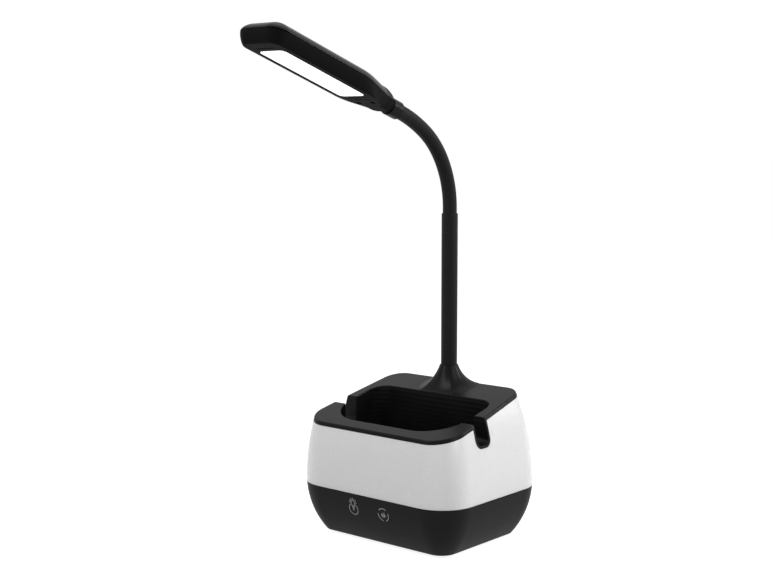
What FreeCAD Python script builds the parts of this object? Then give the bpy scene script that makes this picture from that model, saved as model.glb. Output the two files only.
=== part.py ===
import FreeCAD, Part
import math
import os

import Sketcher
from FreeCAD import Placement, Rotation, Vector

# Desk lamp with a pen tray in its base. Millimetres, +Z up, the lamp's front is -Y.
# The origin is on the table, under the middle of the base.

doc = FreeCAD.newDocument("desk_lamp")
sheet = doc.addObject("Spreadsheet::Sheet", "dim")

sizes = {
    # outer form of the base: a rounded oblong whose flank bulges at one height
    "base_width": 150.6,
    "base_depth": 121,
    "corner_radius": 27,
    "bulge_height": 43,
    "flank_low_radius": 63,
    "flank_high_radius": 175,
    "seam_height": 39.2,
    "wall": 2.2,
    # sloping top: its height over the origin, its slope and its black edge
    "top_height": 99.9,
    "top_slope": 13.2,
    "rim_height": 2.7,
    "rim_round": 1.1,
    # pen cup
    "cup_half_width": 57,
    "cup_front": 43.6,
    "cup_back": 19.7,
    "cup_front_radius": 30,
    "cup_back_radius": 13,
    "cup_floor": 28,
    "cup_wall": 2,
    "cup_round": 0.7,
    # phone rest: a notch through both sides of the cup
    "notch_middle": 14,
    "notch_width": 14,
    "notch_depth": 17.2,
    "notch_radius": 4.5,
    "lip": 1.7,
    # underside
    "foot_height": 2,
    "foot_radius": 5,
    "foot_recess": 0.8,
    "foot_across": 45,
    "foot_along": 30,
    "cover_thickness": 2.4,
    "cover_lip": 3.6,
    "ledge_width": 5,
    "ledge_thickness": 2,
    "boss_radius": 3.4,
    "boss_height": 12,
    "boss_along": 16,
    # iron plate on the bottom cover
    "ballast_half_width": 42,
    "ballast_half_depth": 23,
    "ballast_thickness": 8,
    "ballast_setback": -14.5,
    "ballast_screw_across": 30,
    # control board on its standoffs, with the power inlet
    "standoff_radius": 3,
    "standoff_height": 5,
    "standoff_across": 38,
    "standoff_near": 17,
    "standoff_far": 36,
    "board_half_width": 42,
    "board_near": 13,
    "board_far": 45,
    "board_thickness": 1.6,
    "inlet_height": 16.5,
    "inlet_half_width": 4.5,
    "inlet_setback": 11.4,
    "inlet_radius": 4.2,
    "inlet_nose": 3.8,
    "inlet_bore": 3.1,
    "inlet_pin": 1,
    "inlet_depth": 9,
    # touch sensors behind the front wall
    "touch_half_width": 30,
    "touch_setback": 11,
    "touch_board_height": 16,
    "touch_board_drop": 18,
    "touch_across": 13.5,
    "touch_drop": 10.5,
    "spring_near_radius": 2.4,
    "spring_far_radius": 3.4,
    "touch_rib": 2,
    # mood light
    "mood_margin": 1.4,
    "mood_board_width": 7,
    "mood_board_thickness": 1.2,
    "mood_led_size": 5,
    "mood_led_height": 1.4,
    # shelf that carries the mood light and the tray
    "shelf_height": 33.2,
    "shelf_thickness": 2,
    "post_radius": 3.2,
    "post_front_across": 55.5,
    "post_front_along": 41,
    "post_back_across": 54,
    "post_back_along": 38.5,
    # stem
    "stem_setback": 36.4,
    "flare_height": 124.4,
    "flare_mouth_radius": 7,
    "flare_radius": 16,
    "stem_top": 241.3,
    "stem_radius": 6.25,
    "stem_tube_radius": 4.8,
    "stem_tube_bore": 3.2,
    "stem_boss_radius": 9,
    "stem_boss_bottom": 97,
    "nut_height": 5.5,
    "nut_flats": 15,
    # gooseneck: straight rise, two arcs and a straight end, as the lamp is left standing
    "neck_radius": 5.4,
    "neck_sleeve_wall": 0.7,
    "neck_rise": 3.7,
    "neck_low_radius": 69.8,
    "neck_low_turn": 56.7,
    "neck_high_radius": 122,
    "neck_high_turn": 14.6,
    "neck_straight": 14.3,
    # wound core, divided into short lengths that seat in each other
    "link_start": 4,
    "link_pitch": 8.86,
    "link_radius": 4.3,
    "ball_radius": 3.4,
    "ball_clearance": 0.3,
    "ball_neck": 2.4,
    "cup_depth": 1.7,
    "link_gap": 1.5,
    "core_bore": 1.6,
    "lead_radius": 1.1,
    # collar between gooseneck and head
    "collar_length": 11.4,
    "collar_radius": 6.7,
    "spigot_radius": 4.5,
    "spigot_length": 16.2,
    "groove_radius": 3.6,
    "groove_start": 6,
    "groove_length": 3,
    # head
    "head_length": 139,
    "head_half_width": 20.5,
    "head_taper_end": 46,
    "head_neck_half_width": 7.6,
    "head_neck_length": 8,
    "head_neck_round": 4.3,
    "head_neck_bend": 2.8,
    "head_corner": 11,
    "head_bend": 8,
    "head_axis": 6.3,
    "head_parting": 9.4,
    "head_thickness": 15.6,
    "head_lean": 4.4,
    "head_pull": 3.5,
    "head_crown": 8,
    "crown_pull": 0.8,
    "head_socket_radius": 6.2,
    "parting_groove": 0.4,
    "head_screw_cap": 1.8,
    "head_screw_cap_height": 1.4,
    "vent_half_width": 8.5,
    "vent_setback": 4.1,
    "vent_width": 1,
    "shell": 1.6,
    # light window in the head
    "lens_start": 36.8,
    "lens_length": 85,
    "lens_width": 23.4,
    "lens_corner": 4,
    "lens_flange": 0.8,
    "lens_flange_height": 1.2,
    "lightbox_height": 3,
    "led_board_height": 1,
    # screws
    "screw_radius": 1.4,
    "screw_head_radius": 2.6,
    "screw_head_height": 1.6,
    "head_screw_setback": 23,
    "head_screw_across": 6.3,
    # clearances
    "gap": 0.2,
}

for row, (alias, number) in enumerate(sizes.items(), start=1):
    sheet.set("A%d" % row, alias)
    sheet.set("B%d" % row, str(number))
    sheet.setAlias("B%d" % row, alias)
doc.recompute()

nodes = []


probe = doc.addObject("PartDesign::Body", "probe")


def number(expression):
    """The present value of an expression on the sheet's sizes."""
    result = probe.evalExpression(expression)
    return float(getattr(result, "Value", result))


def add_node(item, name):
    """Keep an object as one of the lamp's pieces, under its own name."""
    item.Label = name
    nodes.append(item)
    return item


# ---- sketches ---------------------------------------------------------------

def plane_of(body, role):
    for feature in body.Origin.OriginFeatures:
        if feature.Role == role:
            return feature
    raise ValueError(role)


def empty_sketch(body, name, role, offset="0", sideways="0"):
    sketch = body.newObject("Sketcher::SketchObject", name)
    sketch.AttachmentSupport = (plane_of(body, role), [""])
    sketch.MapMode = "FlatFace"
    sketch.setExpression("AttachmentOffset.Base.z", offset)
    sketch.setExpression("AttachmentOffset.Base.x", sideways)
    return sketch


def fix_point(sketch, edge, end, across, up):
    """Tie one end of a sketch edge to its two coordinates."""
    for kind, axis, expression in (("DistanceX", -2, across), ("DistanceY", -1, up)):
        if expression == "0":
            sketch.addConstraint(Sketcher.Constraint("PointOnObject", edge, end, axis))
            continue
        place = sketch.addConstraint(
            Sketcher.Constraint(kind, -1, 1, edge, end, number(expression)))
        sketch.setExpression("Constraints[%d]" % place, expression)


def arc_between(start, end, radius, side):
    """Arc from start to end; its centre lies on the given side of travel (1 left, -1 right)."""
    chord = end - start
    middle = (start + end) / 2
    reach = math.sqrt(max(radius ** 2 - (chord.Length / 2) ** 2, 0))
    normal = Vector(-chord.y, chord.x, 0).normalize()
    centre = middle + normal * (reach * side)
    if side > 0:
        first, last = start, end
    else:
        first, last = end, start
    begin = math.atan2(first.y - centre.y, first.x - centre.x)
    finish = math.atan2(last.y - centre.y, last.x - centre.x)
    return Part.ArcOfCircle(Part.Circle(centre, Vector(0, 0, 1), radius), begin, finish)


def draw(sketch, corners, arcs=None, closed=True):
    """Draw a path through corners. arcs maps a corner's index to (radius, side) of the arc
    that leaves it; every other stretch is straight."""
    arcs = arcs or {}
    points = [Vector(number(across), number(up), 0) for across, up in corners]
    count = len(points) if closed else len(points) - 1
    ends = []
    for index in range(count):
        start = points[index]
        end = points[(index + 1) % len(points)]
        if index in arcs:
            radius, side = arcs[index]
            edge = sketch.addGeometry(arc_between(start, end, number(radius), side))
            first, last = (1, 2) if side > 0 else (2, 1)
            place = sketch.addConstraint(Sketcher.Constraint("Radius", edge, number(radius)))
            sketch.setExpression("Constraints[%d]" % place, radius)
        else:
            edge = sketch.addGeometry(Part.LineSegment(start, end))
            first, last = 1, 2
        ends.append((edge, first, last))
    for index, (edge, first, last) in enumerate(ends):
        fix_point(sketch, edge, first, *corners[index])
        if closed or index + 1 < len(ends):
            following = ends[(index + 1) % len(ends)]
            sketch.addConstraint(
                Sketcher.Constraint("Coincident", edge, last, following[0], following[1]))
        else:
            fix_point(sketch, edge, last, *corners[index + 1])
    return sketch


def draw_circle(sketch, across, up, radius):
    centre = Vector(number(across), number(up), 0)
    edge = sketch.addGeometry(Part.Circle(centre, Vector(0, 0, 1), number(radius)))
    fix_point(sketch, edge, 3, across, up)
    place = sketch.addConstraint(Sketcher.Constraint("Radius", edge, number(radius)))
    sketch.setExpression("Constraints[%d]" % place, radius)
    return sketch


def rounded_corners(half_x, half_y, radius, middle_x="0", middle_y="0"):
    """Corners and arcs of a rounded oblong, counter-clockwise from its right side."""
    straight_x = "(%s) - (%s)" % (half_x, radius)
    straight_y = "(%s) - (%s)" % (half_y, radius)
    offsets = [
        (half_x, "-(%s)" % straight_y), (half_x, straight_y),
        (straight_x, half_y), ("-(%s)" % straight_x, half_y),
        ("-(%s)" % half_x, straight_y), ("-(%s)" % half_x, "-(%s)" % straight_y),
        ("-(%s)" % straight_x, "-(%s)" % half_y), (straight_x, "-(%s)" % half_y),
    ]
    corners = [("%s + (%s)" % (middle_x, x), "%s + (%s)" % (middle_y, y)) for x, y in offsets]
    return corners, {index: (radius, 1) for index in (1, 3, 5, 7)}


def draw_rounded(sketch, half_x, half_y, radius, middle_x="0", middle_y="0"):
    corners, arcs = rounded_corners(half_x, half_y, radius, middle_x, middle_y)
    return draw(sketch, corners, arcs)


def draw_box(sketch, left, right, low, high):
    return draw(sketch, [(left, low), (right, low), (right, high), (left, high)])


# ---- features ---------------------------------------------------------------

def new_body(name):
    body = doc.addObject("PartDesign::Body", name)
    body.Label = name
    return body


def grow(body, kind, name, sketch, length, both_ways=False, backwards=False):
    """Pad or Pocket of a sketch; a pocket has to take something away."""
    doc.recompute()
    before = body.Shape.Volume if body.Tip else 0
    feature = body.newObject("PartDesign::" + kind, name)
    feature.Profile = sketch
    feature.setExpression("Length", length)
    feature.Midplane = both_ways
    feature.Reversed = backwards
    doc.recompute()
    if kind == "Pocket" and not body.Shape.Volume < before - 0.001:
        raise RuntimeError(name + " removes nothing")
    return feature


def pad(body, name, sketch, length, **options):
    return grow(body, "Pad", name, sketch, length, **options)


def pocket(body, name, sketch, length, **options):
    return grow(body, "Pocket", name, sketch, length, **options)


def pipe(body, kind, name, section, path):
    feature = body.newObject("PartDesign::" + kind, name)
    feature.Profile = section
    edges = ["Edge%d" % (index + 1) for index in range(len(path.Shape.Edges))]
    feature.Spine = (path, edges)
    doc.recompute()
    return feature


def revolve(body, name, sketch, axis):
    feature = body.newObject("PartDesign::Revolution", name)
    feature.Profile = sketch
    feature.ReferenceAxis = (sketch, [axis])
    feature.Angle = 360
    doc.recompute()
    return feature


def loft(body, kind, name, sections):
    feature = body.newObject("PartDesign::" + kind, name)
    feature.Profile = sections[0]
    feature.Sections = sections[1:]
    feature.Ruled = True
    doc.recompute()
    return feature


def dress(body, kind, name, radius, chosen):
    """Fillet or Chamfer on the edges of the body's last feature that a test chooses."""
    base = body.Tip
    names = ["Edge%d" % (index + 1)
             for index, edge in enumerate(base.Shape.Edges) if chosen(edge)]
    if not names:
        raise RuntimeError(name + " finds no edge")
    feature = body.newObject("PartDesign::" + kind, name)
    feature.Base = (base, names)
    feature.setExpression("Radius" if kind == "Fillet" else "Size", radius)
    doc.recompute()
    return feature


def cylinder(name, radius, height, place, along="z"):
    item = doc.addObject("Part::Cylinder", name)
    item.setExpression("Radius", radius)
    item.setExpression("Height", height)
    turns = {"z": Rotation(), "y": Rotation(Vector(1, 0, 0), -90)}
    item.Placement = Placement(Vector(), turns[along])
    set_place(item, place)
    return item


def block(name, length, width, height, place):
    item = doc.addObject("Part::Box", name)
    item.setExpression("Length", length)
    item.setExpression("Width", width)
    item.setExpression("Height", height)
    set_place(item, place)
    return item


def set_place(item, place):
    for axis, expression in zip("xyz", place):
        item.setExpression("Placement.Base." + axis, expression)


def joined(name, items):
    item = doc.addObject("Part::MultiFuse", name)
    item.Shapes = items
    return item


def screws(name, places, length, head_radius="dim.screw_head_radius"):
    """A group of equal pan-head screws; each place is the seat of a head and the way it points."""
    parts = []
    for index, (across, along, up, way) in enumerate(places):
        head_bottom = up if way > 0 else "(%s) - dim.screw_head_height" % up
        shank_bottom = "(%s) - (%s)" % (up, length) if way > 0 else up
        parts.append(cylinder("%s_head_%d" % (name, index), head_radius,
                              "dim.screw_head_height", (across, along, head_bottom)))
        parts.append(cylinder("%s_shank_%d" % (name, index), "dim.screw_radius",
                              length, (across, along, shank_bottom)))
    return joined(name, parts)


# ---- outer form of the base -------------------------------------------------

def flank_low(height, inward="0"):
    """Half width of the base at a height below the bulge."""
    return ("dim.base_width / 2 - dim.flank_low_radius + sqrt(pow(dim.flank_low_radius - (%s); 2)"
            " - pow(dim.bulge_height - (%s); 2))" % (inward, height))


def flank_high(height, inward="0"):
    """Half width of the base at a height above the bulge."""
    return ("dim.base_width / 2 - dim.flank_high_radius + sqrt(pow(dim.flank_high_radius - (%s); 2)"
            " - pow((%s) - dim.bulge_height; 2))" % (inward, height))


def plan_path(body, name):
    """The widest outline of the base, which every flank section follows round."""
    half_x = "dim.base_width / 2"
    half_y = "dim.base_depth / 2"
    corners, arcs = rounded_corners(half_x, half_y, "dim.corner_radius")
    corners.insert(1, (half_x, "0"))
    arcs = {index + 1: arc for index, arc in arcs.items()}
    corners = corners[1:] + corners[:1]
    arcs = {index - 1: arc for index, arc in arcs.items()}
    return draw(empty_sketch(body, name, "XY_Plane"), corners, arcs)


def top_at(along):
    """Height of the sloping top at a distance behind the origin."""
    return "(dim.top_height + (%s) * tan(dim.top_slope))" % along


def cut_above_slope(body, name, drop):
    """Take away everything above the sloping top, lowered by drop."""
    reach = "dim.base_depth"
    sky = "dim.top_height * 3"
    sketch = draw(empty_sketch(body, name + "_sketch", "YZ_Plane"), [
        ("-" + reach, top_at("-" + reach) + " - " + drop),
        (reach, top_at(reach) + " - " + drop),
        (reach, sky), ("-" + reach, sky)])
    return pocket(body, name, sketch, "dim.base_width * 2", both_ways=True)


def above_slope(point):
    """How far a point lies above the sloping top."""
    slope = math.tan(math.radians(number("dim.top_slope")))
    return point.z - number("dim.top_height") - slope * point.y


def past_flank(point):
    """How far a point above the bulge lies outside the flank."""
    half_x = number(flank_high("%f" % point.z))
    half_y = half_x - number("(dim.base_width - dim.base_depth) / 2")
    corner = number("dim.corner_radius - dim.base_width / 2") + half_x
    across = abs(point.x) - half_x + corner
    along = abs(point.y) - half_y + corner
    if across > 0 and along > 0:
        return math.hypot(across, along) - corner
    return max(across, along) - corner


def cup_outline(sketch, grown):
    """The cup's plan: wide round corners in front, tighter ones at the back."""
    side = "dim.cup_half_width + %s" % grown
    front = "-(dim.cup_front + %s)" % grown
    back = "dim.cup_back + %s" % grown
    front_radius = "dim.cup_front_radius + %s" % grown
    back_radius = "dim.cup_back_radius + %s" % grown
    low = "-(dim.cup_front - dim.cup_front_radius)"
    high = "dim.cup_back - dim.cup_back_radius"
    near = "dim.cup_half_width - dim.cup_front_radius"
    far = "dim.cup_half_width - dim.cup_back_radius"
    corners = [(side, low), (side, high), (far, back), ("-(%s)" % far, back),
               ("-(%s)" % side, high), ("-(%s)" % side, low), ("-(%s)" % near, front),
               (near, front)]
    arcs = {1: (back_radius, 1), 3: (back_radius, 1), 5: (front_radius, 1), 7: (front_radius, 1)}
    return draw(sketch, corners, arcs)


notch_floor = top_at("-dim.notch_middle") + " - dim.notch_depth"


def notch_outline(sketch, grown):
    """Cross-section of the phone rest, open at the top."""
    near = "-dim.notch_middle + dim.notch_width / 2 + " + grown
    far = "-dim.notch_middle - dim.notch_width / 2 - (%s)" % grown
    floor = notch_floor + " - (%s)" % grown
    radius = "dim.notch_radius + " + grown
    bend = "(%s) + (%s)" % (floor, radius)
    top = "dim.top_height + dim.notch_depth"
    corners = [(near, top), (far, top), (far, bend),
               ("(%s) + (%s)" % (far, radius), floor),
               ("(%s) - (%s)" % (near, radius), floor), (near, bend)]
    return draw(sketch, corners, {2: (radius, 1), 4: (radius, 1)})


# Heights and places that several pieces share.
base_bottom = "dim.foot_height"
cover_top = "(dim.foot_height + dim.cover_thickness)"
ledge_top = "(dim.foot_height + dim.cover_thickness + dim.ledge_thickness)"
shelf_top = "(dim.shelf_height + dim.shelf_thickness)"
bottom_half = flank_low(base_bottom)
depth_less_width = "(dim.base_depth - dim.base_width) / 2"
cover_inset = "(dim.base_width / 2 - (%s) + dim.cover_lip)" % bottom_half

post_places = [
    ("dim.post_front_across", "-dim.post_front_along"),
    ("-dim.post_front_across", "-dim.post_front_along"),
    ("dim.post_back_across", "dim.post_back_along"),
    ("-dim.post_back_across", "dim.post_back_along"),
]

boss_across = "(%s - dim.ledge_width - 2)" % bottom_half
boss_places = [
    (boss_across, "dim.boss_along"), ("-" + boss_across, "dim.boss_along"),
    (boss_across, "-dim.boss_along"), ("-" + boss_across, "-dim.boss_along"),
]
foot_places = [("dim.foot_across", "dim.foot_along"), ("-dim.foot_across", "dim.foot_along"),
               ("dim.foot_across", "-dim.foot_along"), ("-dim.foot_across", "-dim.foot_along")]
standoff_places = [("dim.standoff_across", "dim.standoff_near"),
                   ("-dim.standoff_across", "dim.standoff_near"),
                   ("dim.standoff_across", "dim.standoff_far"),
                   ("-dim.standoff_across", "dim.standoff_far")]
ballast_screw_places = [("dim.ballast_screw_across", "dim.ballast_setback"),
                        ("-dim.ballast_screw_across", "dim.ballast_setback")]
board_bottom = "(%s + dim.standoff_height)" % cover_top
board_top = "(%s + dim.board_thickness)" % board_bottom
ballast_top = "(%s + dim.ballast_thickness)" % cover_top
touch_face = "(dim.base_depth / 2 - dim.touch_setback)"
inlet_front = "(dim.base_depth / 2 - dim.inlet_setback)"


# ---- lower housing ----------------------------------------------------------

def make_lower_housing():
    body = new_body("lower_housing")
    path = plan_path(body, "housing_path")
    inner = "dim.flank_low_radius - dim.wall"
    lip = "(%s) - dim.cover_lip" % bottom_half
    ledge = "(%s) - dim.ledge_width" % bottom_half
    section = draw(empty_sketch(body, "housing_section", "XZ_Plane"), [
        (bottom_half, base_bottom),
        (flank_low("dim.seam_height"), "dim.seam_height"),
        (flank_low("dim.seam_height", "dim.wall"), "dim.seam_height"),
        (flank_low(ledge_top, "dim.wall"), ledge_top),
        (ledge, ledge_top), (ledge, cover_top), (lip, cover_top), (lip, base_bottom),
    ], {0: ("dim.flank_low_radius", 1), 2: (inner, -1)})
    doc.recompute()
    pipe(body, "AdditivePipe", "housing_wall", section, path)

    sink = "dim.wall * 0.7"
    plate = draw_rounded(empty_sketch(body, "shelf_sketch", "XY_Plane", "dim.shelf_height"),
                         "dim.base_width / 2 - " + sink, "dim.base_depth / 2 - " + sink,
                         "dim.corner_radius - " + sink)
    pad(body, "shelf", plate, "dim.shelf_thickness")
    opening = empty_sketch(body, "shelf_opening_sketch", "XY_Plane", shelf_top)
    cup_outline(opening, "dim.cup_wall + dim.gap * 3")
    pocket(body, "shelf_opening", opening, "dim.shelf_thickness * 2")
    window = empty_sketch(body, "wire_window_sketch", "XY_Plane", shelf_top)
    draw_box(window, "-30", "30", "dim.cup_back + dim.cup_wall + 4", "dim.stem_setback + 8")
    pocket(body, "wire_window", window, "dim.shelf_thickness * 2")

    bosses = empty_sketch(body, "cover_boss_sketch", "XY_Plane", cover_top)
    for across, along in boss_places:
        draw_circle(bosses, across, along, "dim.boss_radius")
    pad(body, "cover_bosses", bosses, "dim.boss_height")
    pilots = empty_sketch(body, "cover_pilot_sketch", "XY_Plane", base_bottom)
    for across, along in boss_places:
        draw_circle(pilots, across, along, "dim.screw_radius + dim.gap / 2")
    pocket(body, "cover_pilots", pilots, "dim.boss_height", backwards=True)

    passes = empty_sketch(body, "tray_screw_sketch", "XY_Plane", shelf_top)
    for across, along in post_places:
        draw_circle(passes, across, along, "dim.screw_radius + dim.gap")
    pocket(body, "tray_screw_holes", passes, "dim.shelf_thickness * 2")

    ribs = empty_sketch(body, "touch_rib_sketch", "XY_Plane", "dim.shelf_height + 1")
    for sign in ("", "-"):
        near = sign + "(dim.touch_half_width + dim.gap)"
        far = sign + "(dim.touch_half_width + dim.gap + dim.touch_rib)"
        draw_box(ribs, near, far, "-(%s + 3)" % touch_face, "-(%s - 3)" % touch_face)
    pad(body, "touch_ribs", ribs, "9", backwards=True)

    hole = draw_circle(empty_sketch(body, "inlet_sketch", "XZ_Plane"), "0", "dim.inlet_height",
                       "dim.inlet_radius + dim.gap * 2")
    pocket(body, "inlet_hole", hole, "dim.base_depth")
    return add_node(body, "lower_housing")


# ---- bottom cover, feet and ballast -----------------------------------------

def make_bottom_cover():
    body = new_body("bottom_cover")
    inset = cover_inset + " + dim.gap"
    plate = draw_rounded(empty_sketch(body, "cover_sketch", "XY_Plane", base_bottom),
                         "dim.base_width / 2 - (%s)" % inset,
                         "dim.base_depth / 2 - (%s)" % inset,
                         "dim.corner_radius - (%s)" % inset)
    pad(body, "cover_plate", plate, "dim.cover_thickness")
    posts = empty_sketch(body, "standoff_sketch", "XY_Plane", base_bottom)
    for across, along in standoff_places:
        draw_circle(posts, across, along, "dim.standoff_radius")
    pad(body, "standoffs", posts, "dim.cover_thickness + dim.standoff_height")
    feet = empty_sketch(body, "foot_sketch", "XY_Plane", base_bottom)
    for across, along in foot_places:
        draw_circle(feet, across, along, "dim.foot_radius + dim.gap")
    pocket(body, "foot_recesses", feet, "dim.foot_recess", backwards=True)
    heads = empty_sketch(body, "cover_head_sketch", "XY_Plane", base_bottom)
    for across, along in boss_places:
        draw_circle(heads, across, along, "dim.screw_head_radius + dim.gap")
    pocket(body, "head_recesses", heads, "dim.screw_head_height - 0.4", backwards=True)
    holes = empty_sketch(body, "cover_hole_sketch", "XY_Plane", base_bottom)
    for across, along in boss_places:
        draw_circle(holes, across, along, "dim.screw_radius + dim.gap")
    pocket(body, "cover_holes", holes, "dim.cover_thickness * 2", backwards=True)
    pilots = empty_sketch(body, "board_pilot_sketch", "XY_Plane", board_bottom)
    for across, along in standoff_places + ballast_screw_places:
        draw_circle(pilots, across, along, "dim.screw_radius + dim.gap / 2")
    pocket(body, "board_pilots", pilots, "dim.standoff_height + dim.cover_thickness - 1")
    return add_node(body, "bottom_cover")


def make_feet():
    feet = []
    for index, (across, along) in enumerate(foot_places):
        feet.append(cylinder("foot_%d" % index, "dim.foot_radius",
                             "dim.foot_height + dim.foot_recess", (across, along, "0")))
    return add_node(joined("feet_group", feet), "rubber_feet")


def make_ballast():
    body = new_body("ballast_plate")
    plate = draw_rounded(empty_sketch(body, "ballast_sketch", "XY_Plane", cover_top),
                         "dim.ballast_half_width", "dim.ballast_half_depth", "5",
                         middle_y="dim.ballast_setback")
    pad(body, "plate", plate, "dim.ballast_thickness")
    holes = empty_sketch(body, "ballast_hole_sketch", "XY_Plane", ballast_top)
    for across, along in ballast_screw_places:
        draw_circle(holes, across, along, "dim.screw_radius + dim.gap")
    pocket(body, "screw_holes", holes, "dim.ballast_thickness * 2")
    return add_node(body, "ballast_plate")


def make_cover_screws():
    seat = "dim.foot_height + dim.screw_head_height - 0.4"
    places = [(across, along, seat, -1) for across, along in boss_places]
    return add_node(screws("cover_screw", places, "9"), "cover_screws")


def make_ballast_screws():
    places = [(across, along, ballast_top, 1) for across, along in ballast_screw_places]
    return add_node(screws("ballast_screw", places, "9"), "ballast_screws")


# ---- electronics in the base ------------------------------------------------

def make_control_board():
    body = new_body("control_board")
    outline = draw_box(empty_sketch(body, "board_sketch", "XY_Plane", board_bottom),
                       "-dim.board_half_width", "dim.board_half_width",
                       "dim.board_near", "dim.board_far")
    pad(body, "board", outline, "dim.board_thickness")
    holes = empty_sketch(body, "board_hole_sketch", "XY_Plane", board_top)
    for across, along in standoff_places:
        draw_circle(holes, across, along, "dim.screw_radius + dim.gap")
    pocket(body, "board_holes", holes, "dim.board_thickness * 2")
    return add_node(body, "control_board")


def make_board_screws():
    places = [(across, along, board_top, 1) for across, along in standoff_places]
    return add_node(screws("board_screw", places, "5"), "board_screws")


def make_inlet():
    """Low-voltage socket: a box on the board with a round nose that fills the hole in the wall."""
    body = new_body("power_inlet")
    shell = draw_box(empty_sketch(body, "inlet_box_sketch", "XY_Plane", board_top),
                     "-dim.inlet_half_width", "dim.inlet_half_width",
                     "dim.stem_setback + 3", inlet_front)
    pad(body, "inlet_box", shell, "2 * (dim.inlet_height - %s)" % board_top)
    nose = draw_circle(empty_sketch(body, "nose_sketch", "XZ_Plane", "-" + inlet_front),
                       "0", "dim.inlet_height", "dim.inlet_radius")
    pad(body, "nose", nose, "dim.inlet_nose", backwards=True)
    bore = empty_sketch(body, "bore_sketch", "XZ_Plane", "-(%s + dim.inlet_nose)" % inlet_front)
    draw_circle(bore, "0", "dim.inlet_height", "dim.inlet_bore")
    draw_circle(bore, "0", "dim.inlet_height", "dim.inlet_pin")
    pocket(body, "socket_bore", bore, "dim.inlet_depth", backwards=True)
    return add_node(body, "power_inlet")


def make_touch_board():
    board = block("touch_board", "2 * dim.touch_half_width", "dim.board_thickness",
                  "dim.touch_board_height",
                  ("-dim.touch_half_width", "-" + touch_face,
                   "dim.shelf_height - dim.touch_board_drop"))
    return add_node(board, "touch_board")


touch_height = "(dim.shelf_height - dim.touch_drop)"
touch_places = ["-dim.touch_across", "dim.touch_across"]
spring_length = "(dim.base_depth / 2 - %s - dim.base_width / 2 + %s - dim.gap)" % (
    touch_face, flank_low(touch_height + " - dim.spring_far_radius - dim.gap", "dim.wall"))


def make_touch_springs():
    """Conical contact springs between the touch board and the inside of the front wall."""
    springs = []
    for index, across in enumerate(touch_places):
        spring = doc.addObject("Part::Cone", "touch_spring_%d" % index)
        spring.setExpression("Radius1", "dim.spring_near_radius")
        spring.setExpression("Radius2", "dim.spring_far_radius")
        spring.setExpression("Height", spring_length)
        spring.Placement = Placement(Vector(), Rotation(Vector(1, 0, 0), 90))
        set_place(spring, (across, "-" + touch_face, touch_height))
        springs.append(spring)
    return add_node(joined("spring_group", springs), "touch_springs")


def make_mood_light():
    """Ring of board on the shelf, with its light sources under the white ring's cavity."""
    body = new_body("mood_light_board")
    ring = empty_sketch(body, "mood_board_sketch", "XY_Plane", shelf_top)
    outer = "(dim.wall + dim.mood_margin)"
    for inset in (outer, "(%s + dim.mood_board_width)" % outer):
        draw_rounded(ring, "dim.base_width / 2 - " + inset, "dim.base_depth / 2 - " + inset,
                     "dim.corner_radius - " + inset)
    pad(body, "ring", ring, "dim.mood_board_thickness")
    add_node(body, "mood_light_board")

    size = "dim.mood_led_size"
    middle = "(%s + dim.mood_board_width / 2)" % outer
    places = []
    for along in ("-24", "0", "24"):
        places.append(("dim.base_width / 2 - " + middle, along))
        places.append(("-dim.base_width / 2 + " + middle, along))
    for across in ("-45", "-15", "15", "45"):
        places.append((across, "dim.base_depth / 2 - " + middle))
        places.append((across, "-dim.base_depth / 2 + " + middle))
    leds = [block("mood_led_%d" % index, size, size, "dim.mood_led_height",
                  ("%s - %s / 2" % (across, size), "%s - %s / 2" % (along, size),
                   shelf_top + " + dim.mood_board_thickness"))
            for index, (across, along) in enumerate(places)]
    add_node(joined("mood_led_group", leds), "mood_leds")


# ---- white ring -------------------------------------------------------------

def make_diffuser_ring():
    body = new_body("diffuser_ring")
    path = plan_path(body, "ring_path")
    crest = "dim.top_height + dim.base_depth * 0.15"
    widest = "dim.base_width / 2"
    tongue = flank_low("dim.seam_height - 2.5", "dim.wall") + " - dim.gap"
    tongue_inner = tongue + " - 1.2"
    section = draw(empty_sketch(body, "ring_section", "XZ_Plane"), [
        (flank_low("dim.seam_height"), "dim.seam_height"),
        (widest, "dim.bulge_height"),
        (flank_high(crest), crest),
        (flank_high(crest, "dim.wall"), crest),
        (widest + " - dim.wall", "dim.bulge_height"),
        (tongue_inner, "dim.seam_height + 1.2"),
        (tongue_inner, "dim.seam_height - 2.5"),
        (tongue, "dim.seam_height - 2.5"),
        (tongue, "dim.seam_height"),
    ], {0: ("dim.flank_low_radius", 1), 1: ("dim.flank_high_radius", 1),
        3: ("dim.flank_high_radius - dim.wall", -1)})
    doc.recompute()
    pipe(body, "AdditivePipe", "ring_wall", section, path)
    cut_above_slope(body, "ring_top", "dim.rim_height")
    notch = notch_outline(empty_sketch(body, "ring_notch_sketch", "YZ_Plane"),
                          "dim.lip + dim.gap")
    pocket(body, "ring_notch", notch, "dim.base_width * 2", both_ways=True)
    return add_node(body, "diffuser_ring")


# ---- tray -------------------------------------------------------------------

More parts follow.
